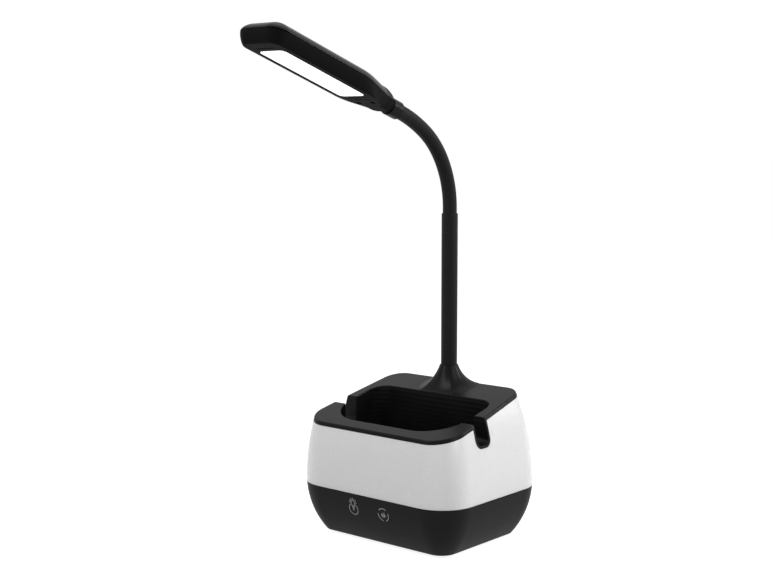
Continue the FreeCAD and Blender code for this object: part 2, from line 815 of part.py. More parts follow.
def make_top_tray():
    body = new_body("top_tray")
    cup_bottom = "dim.cup_floor - dim.cup_wall"
    sky = "dim.top_height * 0.4 + dim.cup_floor"

    walls = empty_sketch(body, "cup_sketch", "XY_Plane", cup_bottom)
    cup_outline(walls, "dim.cup_wall")
    pad(body, "cup_block", walls, "dim.top_height")
    rest = notch_outline(empty_sketch(body, "notch_wall_sketch", "YZ_Plane"), "dim.lip")
    pad(body, "notch_walls", rest, "dim.base_width + 20", both_ways=True)
    posts = empty_sketch(body, "post_sketch", "XY_Plane", shelf_top)
    for across, along in post_places:
        draw_circle(posts, across, along, "dim.post_radius")
    pad(body, "posts", posts, "dim.top_height")
    boss = draw_circle(empty_sketch(body, "stem_boss_sketch", "XY_Plane", "dim.stem_boss_bottom"),
                       "0", "dim.stem_setback", "dim.stem_boss_radius")
    pad(body, "stem_boss", boss, "dim.top_height * 0.3")

    reach = "(dim.base_depth / 2 + 10)"
    slab = draw(empty_sketch(body, "slab_sketch", "YZ_Plane"), [
        ("-" + reach, top_at("-" + reach) + " - dim.rim_height"),
        (reach, top_at(reach) + " - dim.rim_height"),
        (reach, top_at(reach) + " + 5"), ("-" + reach, top_at("-" + reach) + " + 5")])
    pad(body, "slab", slab, "dim.base_width + 20", both_ways=True)
    cut_above_slope(body, "slope", "0")

    mouth = draw_circle(empty_sketch(body, "mouth_sketch", "XY_Plane", "dim.stem_boss_bottom"),
                        "0", "dim.stem_setback", "dim.flare_mouth_radius")
    pad(body, "flare_core", mouth, "dim.flare_height - dim.stem_boss_bottom")

    def at_foot(edge):
        box = edge.BoundBox
        return (abs(box.XLength - 2 * number("dim.flare_mouth_radius")) < 0.01
                and box.ZLength > 1 and box.ZMax < number("dim.flare_height") - 1
                and box.ZMin > number("dim.stem_boss_bottom") + 1)

    dress(body, "Fillet", "flare", "dim.flare_radius", at_foot)

    def is_flare_foot(edge):
        reach = number("dim.flare_radius + dim.flare_mouth_radius") * 1.2
        return all(math.hypot(point.x, point.y - number("dim.stem_setback")) < reach
                   for point in edge.discretize(5))

    inside = empty_sketch(body, "cup_inside_sketch", "XY_Plane", "dim.cup_floor")
    cup_outline(inside, "0")
    pocket(body, "cup_inside", inside, "dim.top_height", backwards=True)
    notch = notch_outline(empty_sketch(body, "notch_sketch", "YZ_Plane"), "0")
    pocket(body, "notches", notch, "dim.base_width * 2", both_ways=True)

    path = plan_path(body, "trim_path")
    low = "dim.cup_floor - 8"
    crest = "dim.flare_height + 2"
    outside = "dim.base_width / 2 + 30"
    section = draw(empty_sketch(body, "trim_section", "XZ_Plane"), [
        (flank_low(low), low),
        ("dim.base_width / 2", "dim.bulge_height"),
        (flank_high(crest), crest),
        (outside, crest), (outside, low),
    ], {0: ("dim.flank_low_radius", 1), 1: ("dim.flank_high_radius", 1)})
    doc.recompute()
    pipe(body, "SubtractivePipe", "flank_trim", section, path)

    def on_rim(edge):
        return (edge.Length > 1
                and all(abs(past_flank(point)) < 0.1 and abs(above_slope(point)) < 0.02
                        for point in edge.discretize(5)))

    def on_opening(edge):
        return (all(abs(above_slope(point)) < 0.02 and past_flank(point) < -2
                    for point in edge.discretize(5)) and not is_flare_foot(edge))

    dress(body, "Fillet", "cup_round", "dim.cup_round", on_opening)
    dress(body, "Fillet", "rim_round", "dim.rim_round", on_rim)

    bore = draw_circle(empty_sketch(body, "stem_bore_sketch", "XY_Plane", "dim.flare_height"),
                       "0", "dim.stem_setback", "dim.stem_tube_radius + dim.gap")
    pocket(body, "stem_bore", bore, "dim.top_height")
    pilots = empty_sketch(body, "post_pilot_sketch", "XY_Plane", shelf_top)
    for across, along in post_places:
        draw_circle(pilots, across, along, "dim.screw_radius + dim.gap / 2")
    pocket(body, "post_pilots", pilots, "14", backwards=True)
    return add_node(body, "top_tray")


def make_tray_screws():
    places = [(across, along, "dim.shelf_height", -1) for across, along in post_places]
    return add_node(screws("tray_screw", places, "12"), "tray_screws")


# ---- stem -------------------------------------------------------------------

def make_stem():
    tube = new_body("stem_tube")
    ball = "dim.stem_top + dim.link_start"
    shoulder = "dim.stem_top - dim.gap"
    foot = "dim.stem_boss_bottom - dim.nut_height - 3"
    waist_height = "%s - dim.ball_radius + dim.gap" % ball
    section = draw(empty_sketch(tube, "tube_section", "XZ_Plane", "-dim.stem_setback"), [
        ("dim.stem_tube_bore", foot),
        ("dim.stem_tube_radius", foot),
        ("dim.stem_tube_radius", shoulder),
        ("dim.ball_neck", shoulder),
        ("dim.ball_neck", waist_height),
    ] + ball_corners(ball) + [
        ("dim.core_bore", "dim.stem_top - 4"),
        ("dim.stem_tube_bore", "dim.stem_top - 8"),
    ])
    doc.recompute()
    revolve(tube, "tube", section, "V_Axis")
    add_node(tube, "stem_tube")

    cover = new_body("stem_cover")
    inner = "dim.stem_tube_radius + dim.gap"
    section = draw(empty_sketch(cover, "cover_section", "XZ_Plane", "-dim.stem_setback"), [
        (inner, "dim.flare_height + dim.gap"),
        ("dim.stem_radius", "dim.flare_height + dim.gap"),
        ("dim.stem_radius", "dim.stem_top - 0.6"),
        ("dim.stem_radius - 0.6", "dim.stem_top"),
        (inner, "dim.stem_top"),
    ])
    doc.recompute()
    revolve(cover, "sleeve", section, "V_Axis")
    add_node(cover, "stem_cover")

    washer = new_body("stem_washer")
    ring = empty_sketch(washer, "washer_sketch", "XY_Plane", "dim.stem_boss_bottom - 1")
    draw_circle(ring, "0", "dim.stem_setback", "dim.stem_boss_radius - 0.5")
    draw_circle(ring, "0", "dim.stem_setback", "dim.stem_tube_radius + dim.gap")
    pad(washer, "washer", ring, "1")
    add_node(washer, "stem_washer")

    nut = new_body("stem_nut")
    six = empty_sketch(nut, "nut_sketch", "XY_Plane", "dim.stem_boss_bottom - 1 - dim.nut_height")
    reach = "dim.nut_flats / 2 / cos(30)"
    draw(six, [("%s * cos(%d)" % (reach, turn), "dim.stem_setback + %s * sin(%d)" % (reach, turn))
               for turn in range(0, 360, 60)])
    draw_circle(six, "0", "dim.stem_setback", "dim.stem_tube_radius + dim.gap / 2")
    pad(nut, "nut", six, "dim.nut_height")
    add_node(nut, "stem_nut")


# ---- gooseneck --------------------------------------------------------------

full_turn = "(dim.neck_low_turn + dim.neck_high_turn)"
rise_top = "dim.stem_top + dim.neck_rise"
low_end = ("dim.stem_setback - dim.neck_low_radius * (1 - cos(dim.neck_low_turn))",
           rise_top + " + dim.neck_low_radius * sin(dim.neck_low_turn)")
high_end = ("%s - dim.neck_high_radius * (cos(dim.neck_low_turn) - cos(%s))"
            % (low_end[0], full_turn),
            "%s + dim.neck_high_radius * (sin(%s) - sin(dim.neck_low_turn))"
            % (low_end[1], full_turn))


def beyond(length):
    """Point on the neck's straight end, at a distance past its second arc."""
    return ("%s - (%s) * sin(%s)" % (high_end[0], length, full_turn),
            "%s + (%s) * cos(%s)" % (high_end[1], length, full_turn))


def neck_path(body, name, start, tail):
    """Centre line of the neck from a height on the stem to a length past the second arc."""
    sketch = empty_sketch(body, name, "YZ_Plane")
    draw(sketch, [("dim.stem_setback", start), ("dim.stem_setback", rise_top),
                  low_end, high_end, beyond(tail)],
         {1: ("dim.neck_low_radius", 1), 2: ("dim.neck_high_radius", 1)}, closed=False)
    doc.recompute()
    return sketch


def neck_frame(distance):
    """Placement of the neck's centre line at a distance along it from the top of the stem."""
    rise = number("dim.neck_rise")
    y = number("dim.stem_setback")
    z = number("dim.stem_top")
    tilt = 0.0
    step = min(distance, rise)
    z += step
    distance -= step
    for arc in ("low", "high"):
        radius = number("dim.neck_%s_radius" % arc)
        turn = min(distance / radius, math.radians(number("dim.neck_%s_turn" % arc)))
        y -= radius * (math.cos(tilt) - math.cos(tilt + turn))
        z += radius * (math.sin(tilt + turn) - math.sin(tilt))
        tilt += turn
        distance -= radius * turn
    y -= distance * math.sin(tilt)
    z += distance * math.cos(tilt)
    return Vector(0, y, z)


link_count = 11
cup_radius = "(dim.ball_radius + dim.ball_clearance)"


def ball_corners(centre):
    """Faceted ball end of a core length, as radii and heights from its widest ring up."""
    return [
        ("dim.ball_radius", centre),
        ("dim.ball_radius * cos(40)", "%s + dim.ball_radius * sin(40)" % centre),
        ("dim.core_bore", "%s + sqrt(pow(dim.ball_radius; 2) - pow(dim.core_bore; 2))" % centre),
    ]


def cup_corners(centre):
    """Seat for a ball end: a bore with a cone at its bottom, from the lead's hole out."""
    cone_end = "%s + %s * sqrt(2) - dim.core_bore" % (centre, cup_radius)
    cone_start = "%s + %s * (sqrt(2) - 1)" % (centre, cup_radius)
    return [
        ("dim.core_bore", cone_end),
        (cup_radius, cone_start),
        (cup_radius, "%s - dim.cup_depth" % centre),
    ]


def make_links():
    """Lengths of the wound core: a cup that seats on the ball below, and a ball on top."""
    body = new_body("core_length")
    shoulder = "(dim.link_pitch - dim.cup_depth - dim.link_gap)"
    section = draw(empty_sketch(body, "core_section", "XZ_Plane"), [
        ("dim.link_radius", "-dim.cup_depth"),
        ("dim.link_radius", shoulder),
        ("dim.ball_neck", shoulder),
    ] + ball_corners("dim.link_pitch") + cup_corners("0"))
    doc.recompute()
    revolve(body, "turned", section, "V_Axis")
    pitch = number("dim.link_pitch")
    start = number("dim.link_start")
    for index in range(link_count):
        seat = neck_frame(start + index * pitch)
        following = neck_frame(start + (index + 1) * pitch)
        link = doc.addObject("Part::Feature", "neck_link_%02d_shape" % (index + 1))
        link.Shape = body.Shape.copy()
        link.Placement = Placement(seat, Rotation(Vector(0, 0, 1), following - seat))
        add_node(link, "neck_link_%02d" % (index + 1))


def make_neck_skin():
    sleeve = new_body("neck_sleeve")
    path = neck_path(sleeve, "sleeve_path", "dim.stem_top",
                     "dim.neck_straight - dim.collar_length")
    ring = empty_sketch(sleeve, "sleeve_section", "XY_Plane", "dim.stem_top")
    draw_circle(ring, "0", "dim.stem_setback", "dim.neck_radius")
    draw_circle(ring, "0", "dim.stem_setback", "dim.neck_radius - dim.neck_sleeve_wall")
    doc.recompute()
    pipe(sleeve, "AdditivePipe", "sleeve", ring, path)
    add_node(sleeve, "neck_sleeve")

    lead = new_body("lamp_lead")
    start = board_top + " + dim.gap"
    path = neck_path(lead, "lead_path", start,
                     "dim.neck_straight + (dim.lens_start - dim.lens_flange) - dim.gap * 2")
    section = draw_circle(empty_sketch(lead, "lead_section", "XY_Plane", start),
                          "0", "dim.stem_setback", "dim.lead_radius")
    doc.recompute()
    pipe(lead, "AdditivePipe", "lead", section, path)
    add_node(lead, "lamp_lead")


# ---- head -------------------------------------------------------------------
# The head is drawn lying level, with its neck seat at the origin, its tip towards -Y and
# its underside below the neck's axis. Its placement then sets it on the end of the neck.

seat_y, seat_z = beyond("dim.neck_straight")
underside = "-dim.head_axis"
parting = "(dim.head_parting - dim.head_axis)"
crown_top = "(dim.head_thickness - dim.head_axis)"


def set_on_neck(item):
    item.Placement = Placement(Vector(), Rotation(Vector(-1, 0, 0), 10))
    item.setExpression("Placement.Base.y", seat_y)
    item.setExpression("Placement.Base.z", seat_z)
    item.setExpression("Placement.Rotation.Angle", "90 - " + full_turn)


def head_outline(sketch, inset, start=None, pull="0"):
    """Plan of the head: rounded at the neck, then a long taper, straight sides and a blunt tip.
    With a start, the plan is cut off square at that distance from the neck seat.
    Pull is how far the taper's wide end moves towards the neck for each unit of inset."""
    neck = "(dim.head_neck_half_width - %s * 0.3)" % inset
    side = "(dim.head_half_width - %s)" % inset
    tip = "-(dim.head_length - %s)" % inset
    corner = "(dim.head_corner - %s)" % inset
    nose = "(%s * 1.2)" % inset
    taper_start = "(dim.head_neck_length + %s)" % nose
    taper_end = "(dim.head_taper_end - %s * (%s))" % (inset, pull)
    slope = "((%s - %s) / (%s - %s))" % (side, neck, taper_end, taper_start)
    lean = "atan(%s)" % slope
    right = [
        ("%s - dim.head_bend * sin(%s)" % (side, lean),
         "-(%s - dim.head_bend * cos(%s))" % (taper_end, lean)),
        (side, "-(%s + dim.head_bend)" % taper_end),
        (side, "%s + %s" % (tip, corner)),
        ("%s - %s" % (side, corner), tip),
    ]
    rounds = {0: ("dim.head_bend / tan(%s / 2)" % lean, -1), 2: (corner, -1)}
    if start is None:
        root = [
            ("%s - dim.head_neck_round" % neck, "-" + nose),
            (neck, "-(%s + dim.head_neck_round)" % nose),
            (neck, "-(%s - dim.head_neck_bend)" % taper_start),
            ("%s + dim.head_neck_bend * sin(%s)" % (neck, lean),
             "-(%s + dim.head_neck_bend * cos(%s))" % (taper_start, lean)),
        ]
        rounds = {index + 4: arc for index, arc in rounds.items()}
        rounds[0] = ("dim.head_neck_round", -1)
        rounds[2] = ("dim.head_neck_bend / tan(%s / 2)" % lean, 1)
    else:
        root = [("%s + (%s - %s) * %s" % (neck, start, taper_start, slope), "-" + start)]
        rounds = {index + 1: arc for index, arc in rounds.items()}
    right = root + right
    left = [("-(%s)" % x, y) for x, y in reversed(right)]
    last = 2 * len(right) - 2
    rounds.update({last - index: arc for index, arc in list(rounds.items())})
    return draw(sketch, right + left, rounds)


# A moulded flank: shares of its height and of its inset, from the flat face to the parting line.
flank_steps = ((0, 1), (0.06, 0.8), (0.18, 0.6), (0.42, 0.33), (0.72, 0.1), (1, 0))


def moulded_form(body, name, flat, inset, pull):
    """Smooth shell form between the parting line and a flat face, drawn in by inset there."""
    stack = []
    for index, (height, share) in enumerate(flank_steps):
        level = "%s + (%s - (%s)) * %g" % (flat, parting, flat, height)
        sketch = empty_sketch(body, "%s_%d" % (name, index), "XY_Plane", level)
        stack.append(head_outline(sketch, "(%s * %g)" % (inset, share), pull=pull))
    doc.recompute()
    form = loft(body, "AdditiveLoft", name, stack)
    form.Ruled = False
    doc.recompute()
    return form


def screw_posts(body, name, low, high):
    sketch = empty_sketch(body, name + "_sketch", "XY_Plane", low)
    for sign in ("", "-"):
        draw_circle(sketch, sign + "dim.head_screw_across", "-dim.head_screw_setback",
                    "dim.screw_radius + 1")
    return pad(body, name, sketch, "%s - (%s)" % (high, low))


def seat_block(body, name):
    disc = draw_circle(empty_sketch(body, name + "_sketch", "XZ_Plane"), "0", "0",
                       "dim.head_socket_radius")
    return pad(body, name, disc, "dim.spigot_length - dim.gap")


def neck_channel(body):
    """Round channel for the collar's spigot, with a rib that fills the spigot's groove."""
    spigot = "dim.spigot_radius + dim.gap"
    rib_front = "(dim.groove_start + dim.gap)"
    rib_back = "(dim.groove_start + dim.groove_length - dim.gap)"
    inner_end = "(dim.spigot_length + 1)"
    for name, start, length, radius in (
            ("rib_channel", "-1", inner_end + " + 1", "dim.groove_radius + dim.gap"),
            ("mouth_channel", "-1", rib_front + " + 1", spigot),
            ("inner_channel", rib_back, "%s - %s" % (inner_end, rib_back), spigot)):
        section = draw_circle(empty_sketch(body, name + "_sketch", "XZ_Plane", start),
                              "0", "0", radius)
        pocket(body, name, section, length, backwards=True)


def make_head_frame():
    body = new_body("head_frame")
    moulded_form(body, "frame_form", underside, "dim.head_lean", "dim.head_pull")
    seat_block(body, "frame_seat")
    above = draw_box(empty_sketch(body, "frame_split_sketch", "XY_Plane", parting),
                     "-dim.head_half_width - 5", "dim.head_half_width + 5",
                     "-dim.head_length - 5", "5")
    pocket(body, "frame_split", above, "20", backwards=True)

    line = draw_box(empty_sketch(body, "parting_line_sketch", "XY_Plane", parting),
                    "-dim.head_half_width - 5", "dim.head_half_width + 5",
                    "-dim.head_length - 5", "5")
    head_outline(line, "dim.parting_groove", pull="dim.head_pull")
    pocket(body, "parting_line", line, "dim.parting_groove")

    deep = "(dim.head_lean * 0.62 + dim.shell)"
    floor = underside + " + dim.shell"
    inner_low = head_outline(empty_sketch(body, "inside_low", "XY_Plane", floor), deep,
                             "dim.spigot_length")
    inner_high = head_outline(empty_sketch(body, "inside_high", "XY_Plane", parting + " + 0.01"),
                              "dim.shell", "dim.spigot_length")
    doc.recompute()
    loft(body, "SubtractiveLoft", "frame_inside", [inner_low, inner_high])
    screw_posts(body, "frame_posts", floor + " - 0.5", parting)

    window = draw_rounded(empty_sketch(body, "window_sketch", "XY_Plane", floor),
                          "dim.lens_width / 2", "dim.lens_length / 2", "dim.lens_corner",
                          middle_y="-(dim.lens_start + dim.lens_length / 2)")
    pocket(body, "window", window, "dim.shell * 2")
    vent = "(dim.lens_start + dim.lens_length + dim.vent_setback)"
    slot = draw_box(empty_sketch(body, "slot_sketch", "XY_Plane", floor),
                    "-dim.vent_half_width", "dim.vent_half_width",
                    "-(%s + dim.vent_width)" % vent, "-" + vent)
    pocket(body, "vent_slot", slot, "dim.shell * 2")
    grooves = empty_sketch(body, "groove_sketch", "XY_Plane", underside)
    for middle in ("3.5", "7.5"):
        draw_box(grooves, "-dim.vent_half_width", "dim.vent_half_width",
                 "-(dim.lens_start - %s + 0.3)" % middle,
                 "-(dim.lens_start - %s - 0.3)" % middle)
    pocket(body, "grooves", grooves, "0.5", backwards=True)
    for name, radius, depth in (("screw_sinks", "dim.head_screw_cap + dim.gap", "3"),
                                ("screw_passes", "dim.screw_radius + dim.gap", "12")):
        sketch = empty_sketch(body, name + "_sketch", "XY_Plane", underside)
        for sign in ("", "-"):
            draw_circle(sketch, sign + "dim.head_screw_across", "-dim.head_screw_setback",
                        radius)
        pocket(body, name, sketch, depth, backwards=True)

    neck_channel(body)
    mouth = draw_box(empty_sketch(body, "channel_mouth_sketch", "XZ_Plane", "-1"),
                     "-(dim.groove_radius + dim.gap)", "dim.groove_radius + dim.gap",
                     "0", parting + " + 1")
    pocket(body, "channel_mouth", mouth, "dim.spigot_length + 2", backwards=True)
    set_on_neck(body)
    return add_node(body, "head_frame")


def make_head_cover():
    body = new_body("head_cover")
    moulded_form(body, "cover_form", crown_top, "dim.head_crown", "dim.crown_pull")
    seat_block(body, "cover_seat")
    below = draw_box(empty_sketch(body, "cover_split_sketch", "XY_Plane", parting),
                     "-dim.head_half_width - 5", "dim.head_half_width + 5",
                     "-dim.head_length - 5", "5")
    pocket(body, "cover_split", below, "20")

    inside = head_outline(empty_sketch(body, "ceiling_sketch", "XY_Plane", parting),
                          "(dim.head_crown * 0.65)", "dim.spigot_length")
    pocket(body, "cover_inside", inside, "dim.head_thickness - dim.head_parting - dim.shell",
           backwards=True)
    ceiling = crown_top + " - dim.shell"
    screw_posts(body, "cover_posts", parting, ceiling + " + 0.5")
    pilots = empty_sketch(body, "cover_pilot_sketch", "XY_Plane", parting)
    for sign in ("", "-"):
        draw_circle(pilots, sign + "dim.head_screw_across", "-dim.head_screw_setback",
                    "dim.screw_radius + dim.gap / 2")
    pocket(body, "cover_pilots", pilots, "4", backwards=True)
    ribs = empty_sketch(body, "rib_sketch", "XY_Plane", ceiling + " + 0.5")
    for share in ("0.3", "0.7"):
        middle = "dim.lens_start + dim.lens_length * " + share
        draw_box(ribs, "-9", "9", "-(%s + 0.6)" % middle, "-(%s - 0.6)" % middle)
    pad(body, "board_ribs", ribs, "%s + 0.5 - (%s) - dim.gap" % (ceiling, led_board_top),
        backwards=True)
    neck_channel(body)
    set_on_neck(body)
    return add_node(body, "head_cover")


lens_floor = "(%s + dim.shell)" % underside
flange_top = "(%s + dim.lens_flange_height)" % lens_floor
led_board_bottom = "(%s + dim.lightbox_height)" % flange_top
led_board_top = "(%s + dim.led_board_height)" % led_board_bottom
lens_middle = "-(dim.lens_start + dim.lens_length / 2)"
light_end = "(dim.lens_start + dim.lens_length + dim.lens_flange)"
light_middle = "-((dim.lens_start - dim.lens_flange) + %s) / 2" % light_end
light_half = "(%s - (dim.lens_start - dim.lens_flange)) / 2" % light_end
light_half_width = "dim.lens_width / 2 + dim.lens_flange"


def light_outline(sketch, inset="0"):
    """Outline shared by the lens flange, the light box and the light board."""
    return draw_rounded(sketch, "%s - %s" % (light_half_width, inset),
                        "%s - %s" % (light_half, inset), "dim.lens_corner - " + inset,
                        middle_y=light_middle)


def make_light():
    """Lens, white light box and light board, stacked in the head from the underside up."""
    lens = new_body("head_diffuser")
    face = draw_rounded(empty_sketch(lens, "lens_sketch", "XY_Plane", underside),
                        "dim.lens_width / 2 - dim.gap / 2", "dim.lens_length / 2 - dim.gap / 2",
                        "dim.lens_corner - dim.gap / 2", middle_y=lens_middle)
    pad(lens, "face", face, "dim.shell")
    flange = light_outline(empty_sketch(lens, "flange_sketch", "XY_Plane", lens_floor))
    pad(lens, "flange", flange, "dim.lens_flange_height")

    box = new_body("light_box")
    walls = empty_sketch(box, "light_box_sketch", "XY_Plane", flange_top)
    light_outline(walls)
    light_outline(walls, "1.2")
    pad(box, "walls", walls, "dim.lightbox_height")

    board = new_body("head_led_board")
    plate = light_outline(empty_sketch(board, "led_board_sketch", "XY_Plane", led_board_bottom))
    pad(board, "board", plate, "dim.led_board_height")

    for body in (lens, box, board):
        set_on_neck(body)
        add_node(body, body.Label)


def make_head_leds():
    """Light sources on the underside of the head's board, in three rows."""
    chips = []
    for row in range(8):
        for column in (-1, 0, 1):
            across = "dim.lens_width * 0.3 * %d - 1.75" % column
            along = "%s - 1.4 + %s * 2 * %g" % (light_middle, light_half, (row - 3.5) / 8)
            chips.append(block("led_%d_%d" % (row, column + 1), "3.5", "2.8", "0.8",
                               (across, along, led_board_bottom + " - 0.8")))
    group = joined("head_led_group", chips)
    set_on_neck(group)
    return add_node(group, "head_leds")


def make_head_screws():
    parts = []
    for index, sign in enumerate(("", "-")):
        place = (sign + "dim.head_screw_across", "-dim.head_screw_setback")
        parts.append(cylinder("head_screw_cap_%d" % index, "dim.head_screw_cap",
                              "dim.head_screw_cap_height",
                              place + (underside + " + 3 - dim.head_screw_cap_height",)))
        parts.append(cylinder("head_screw_shank_%d" % index, "dim.screw_radius", "9",
                              place + (underside + " + 3",)))
    group = joined("head_screw_group", parts)
    set_on_neck(group)
    return add_node(group, "head_screws")


def make_collar():
    """Turned collar: cup on the last ball, visible band, and a spigot held in the head."""
    body = new_body("neck_collar")
    seat = "(dim.neck_rise + dim.neck_low_radius * dim.neck_low_turn * pi / 180" \
           " + dim.neck_high_radius * dim.neck_high_turn * pi / 180 + dim.neck_straight" \
           " - dim.link_start - %d * dim.link_pitch)" % link_count
    end = "-dim.spigot_length"
    groove = "dim.groove_start"
    groove_end = "(dim.groove_start + dim.groove_length)"
    seat_corners = [(height, radius) for radius, height in cup_corners("-" + seat)]
    section = draw(empty_sketch(body, "collar_section", "YZ_Plane"), [
        ("%s + dim.cup_depth" % seat, "dim.link_radius"),
        ("dim.collar_length", "dim.link_radius"),
        ("dim.collar_length", "dim.collar_radius - 0.5"),
        ("dim.collar_length - 0.5", "dim.collar_radius"),
        ("dim.gap", "dim.collar_radius"),
        ("dim.gap", "dim.spigot_radius"),
        ("-" + groove, "dim.spigot_radius"),
        ("-" + groove, "dim.groove_radius"),
        ("-" + groove_end, "dim.groove_radius"),
        ("-" + groove_end, "dim.spigot_radius"),
        (end, "dim.spigot_radius"),
        (end, "dim.core_bore"),
    ] + [("-(%s)" % height, radius) for height, radius in seat_corners])
    doc.recompute()
    revolve(body, "collar", section, "H_Axis")
    set_on_neck(body)
    return add_node(body, "neck_collar")


# ---- build ------------------------------------------------------------------

make_feet()
make_bottom_cover()
make_cover_screws()
make_ballast()
make_ballast_screws()
make_lower_housing()
make_control_board()
make_board_screws()
make_inlet()
make_touch_board()
make_touch_springs()
make_mood_light()
make_diffuser_ring()
make_top_tray()
make_tray_screws()
make_stem()
make_links()
make_neck_skin()
make_collar()
make_head_frame()
make_head_cover()
make_light()
make_head_leds()
make_head_screws()
doc.recompute()

for item in doc.Objects:
    if "Invalid" in item.State or "Error" in item.State:
        raise RuntimeError("%s did not build: %s" % (item.Label, item.State))
for item in nodes:
    if item.Shape.isNull() or not item.Shape.isValid():
        raise RuntimeError("%s has no sound shape" % item.Label)

os.makedirs("parts", exist_ok=True)
for item in nodes:
    item.Shape.exportStep("parts/%s.step" % item.Label)
    print("%-18s solids %2d  volume %9.1f" % (item.Label, len(item.Shape.Solids),
                                              item.Shape.Volume))
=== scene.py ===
import math
import bpy
import bmesh
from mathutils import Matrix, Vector


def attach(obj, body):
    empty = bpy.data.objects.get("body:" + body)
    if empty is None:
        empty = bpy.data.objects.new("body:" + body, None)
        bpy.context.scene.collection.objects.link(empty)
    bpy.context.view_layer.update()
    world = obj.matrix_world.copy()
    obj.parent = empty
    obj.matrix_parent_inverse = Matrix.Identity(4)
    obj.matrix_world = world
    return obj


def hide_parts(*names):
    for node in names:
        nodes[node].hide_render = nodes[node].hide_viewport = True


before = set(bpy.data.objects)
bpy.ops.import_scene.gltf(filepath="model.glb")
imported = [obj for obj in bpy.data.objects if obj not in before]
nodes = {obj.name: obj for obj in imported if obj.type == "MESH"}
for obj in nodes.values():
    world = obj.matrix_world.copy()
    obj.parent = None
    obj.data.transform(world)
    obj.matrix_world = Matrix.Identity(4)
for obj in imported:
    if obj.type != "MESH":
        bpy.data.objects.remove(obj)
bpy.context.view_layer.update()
print("frame loaded with", len(nodes), "nodes")


# lengths are in metres and angles in degrees, but a look's sizes are in millimetres,
# apart from those in its sockets

metre = 1000      # in millimetres


def newPiece(name, data):
    piece = bpy.data.objects.new(name, data)
    bpy.context.collection.objects.link(piece)
    return piece


def meshPiece(name, shape):
    bmesh.ops.recalc_face_normals(shape, faces=shape.faces)
    mesh = bpy.data.meshes.new(name)
    shape.to_mesh(mesh)
    shape.free()
    return newPiece(name, mesh)


# camera: a long lens low in front of the right corner of the base

cameraView = {
    "place": (0.6465, -0.7916, 0.2995),
    "turn": 40.64,          # round from the front, toward the right side
    "dip": 6.36,            # below level
    "lens": 64.07,          # millimetres, like the sensor
    "sensor": 36.0,
}


def setCamera():
    turn = math.radians(cameraView["turn"])
    dip = math.radians(cameraView["dip"])
    data = bpy.data.cameras.new("mainCamera")
    data.lens = cameraView["lens"]
    data.sensor_width = cameraView["sensor"]
    data.sensor_fit = "HORIZONTAL"
    camera = newPiece("mainCamera", data)
    camera.location = cameraView["place"]
    ahead = Vector((-math.sin(turn) * math.cos(dip), math.cos(turn) * math.cos(dip),
                    -math.sin(dip)))
    camera.rotation_euler = ahead.to_track_quat("-Z", "Y").to_euler()
    bpy.context.scene.camera = camera


setCamera()
print("camera set")


# materials

def paint(hexCode):
    # sRGB hex to the linear values that the sockets take
    parts = [int(hexCode[i:i + 2], 16) / 255 for i in (1, 3, 5)]
    parts = [c / 12.92 if c <= 0.04045 else ((c + 0.055) / 1.055) ** 2.4 for c in parts]
    return (*parts, 1.0)


def addNode(owner, kind, inputs, **settings):
    node = owner.node_tree.nodes.new(kind)
    for name, value in settings.items():
        setattr(node, name, value)
    for name, value in inputs.items():
        if isinstance(value, bpy.types.NodeSocket):
            owner.node_tree.links.new(value, node.inputs[name])
        else:
            node.inputs[name].default_value = value
    return node


def newMaterial(name, look):
    # returns the material, its shader and the coordinates that its patterns run on
    material = bpy.data.materials.new(name)
    material.use_nodes = True
    shader = material.node_tree.nodes["Principled BSDF"]
    for socket, value in look.items():
        shader.inputs[socket].default_value = value
    place = addNode(material, "ShaderNodeTexCoord", {})
    return material, shader, place.outputs["Object"]


def perSize(millimetres):
    # texture scale that gives a pattern of this size
    return metre / millimetres


textureSpan = {"From Min": 0.3, "From Max": 0.7}      # where most of a texture's values lie


def mixTones(material, shader, share, look):
    # the colour sockets of a Mix node share their names with others, so they go by number
    tones = addNode(material, "ShaderNodeMix", {
        0: share, 6: paint(look["dark"]), 7: paint(look["light"])}, data_type="RGBA")
    material.node_tree.links.new(tones.outputs[2], shader.inputs["Base Color"])


edgeRays = 6      # more rays make a broken edge smoother and slower


def grainBump(material, shader, height, depth, edge=0.0):
    # an edge breaks the sharp corners by so much, so that they catch a line of light
    inputs = {"Height": height, "Distance": depth / metre}
    if edge:
        soft = addNode(material, "ShaderNodeBevel", {"Radius": edge / metre}, samples=edgeRays)
        inputs["Normal"] = soft.outputs["Normal"]
    bump = addNode(material, "ShaderNodeBump", inputs)
    material.node_tree.links.new(bump.outputs["Normal"], shader.inputs["Normal"])


def mouldLines(material, place, look):
    # faint level lines that the mould's cutter leaves on upright walls
    wave = addNode(material, "ShaderNodeTexWave", {
        "Vector": place, "Scale": perSize(look["pitch"]) / (2 * math.pi),
        "Distortion": look["waver"], "Detail": look["detail"],
    }, bands_direction="Z")
    facing = addNode(material, "ShaderNodeSeparateXYZ", {
        "Vector": addNode(material, "ShaderNodeNewGeometry", {}).outputs["Normal"]})
    level = addNode(material, "ShaderNodeMath", {0: facing.outputs["Z"]}, operation="ABSOLUTE")
    upright = addNode(material, "ShaderNodeMapRange", {
        "Value": level.outputs[0], "From Min": 0.0, "From Max": look["upright"],
        "To Min": look["share"], "To Max": 0.0})
    return addNode(material, "ShaderNodeMath", {
        0: wave.outputs["Fac"], 1: upright.outputs["Result"]}, operation="MULTIPLY").outputs[0]


moulding = {
    "ior": 1.45,            # between silicone and ABS
    "driftDetail": 3.0,
    "glossBreak": 0.06,     # roughness that the grain adds
}


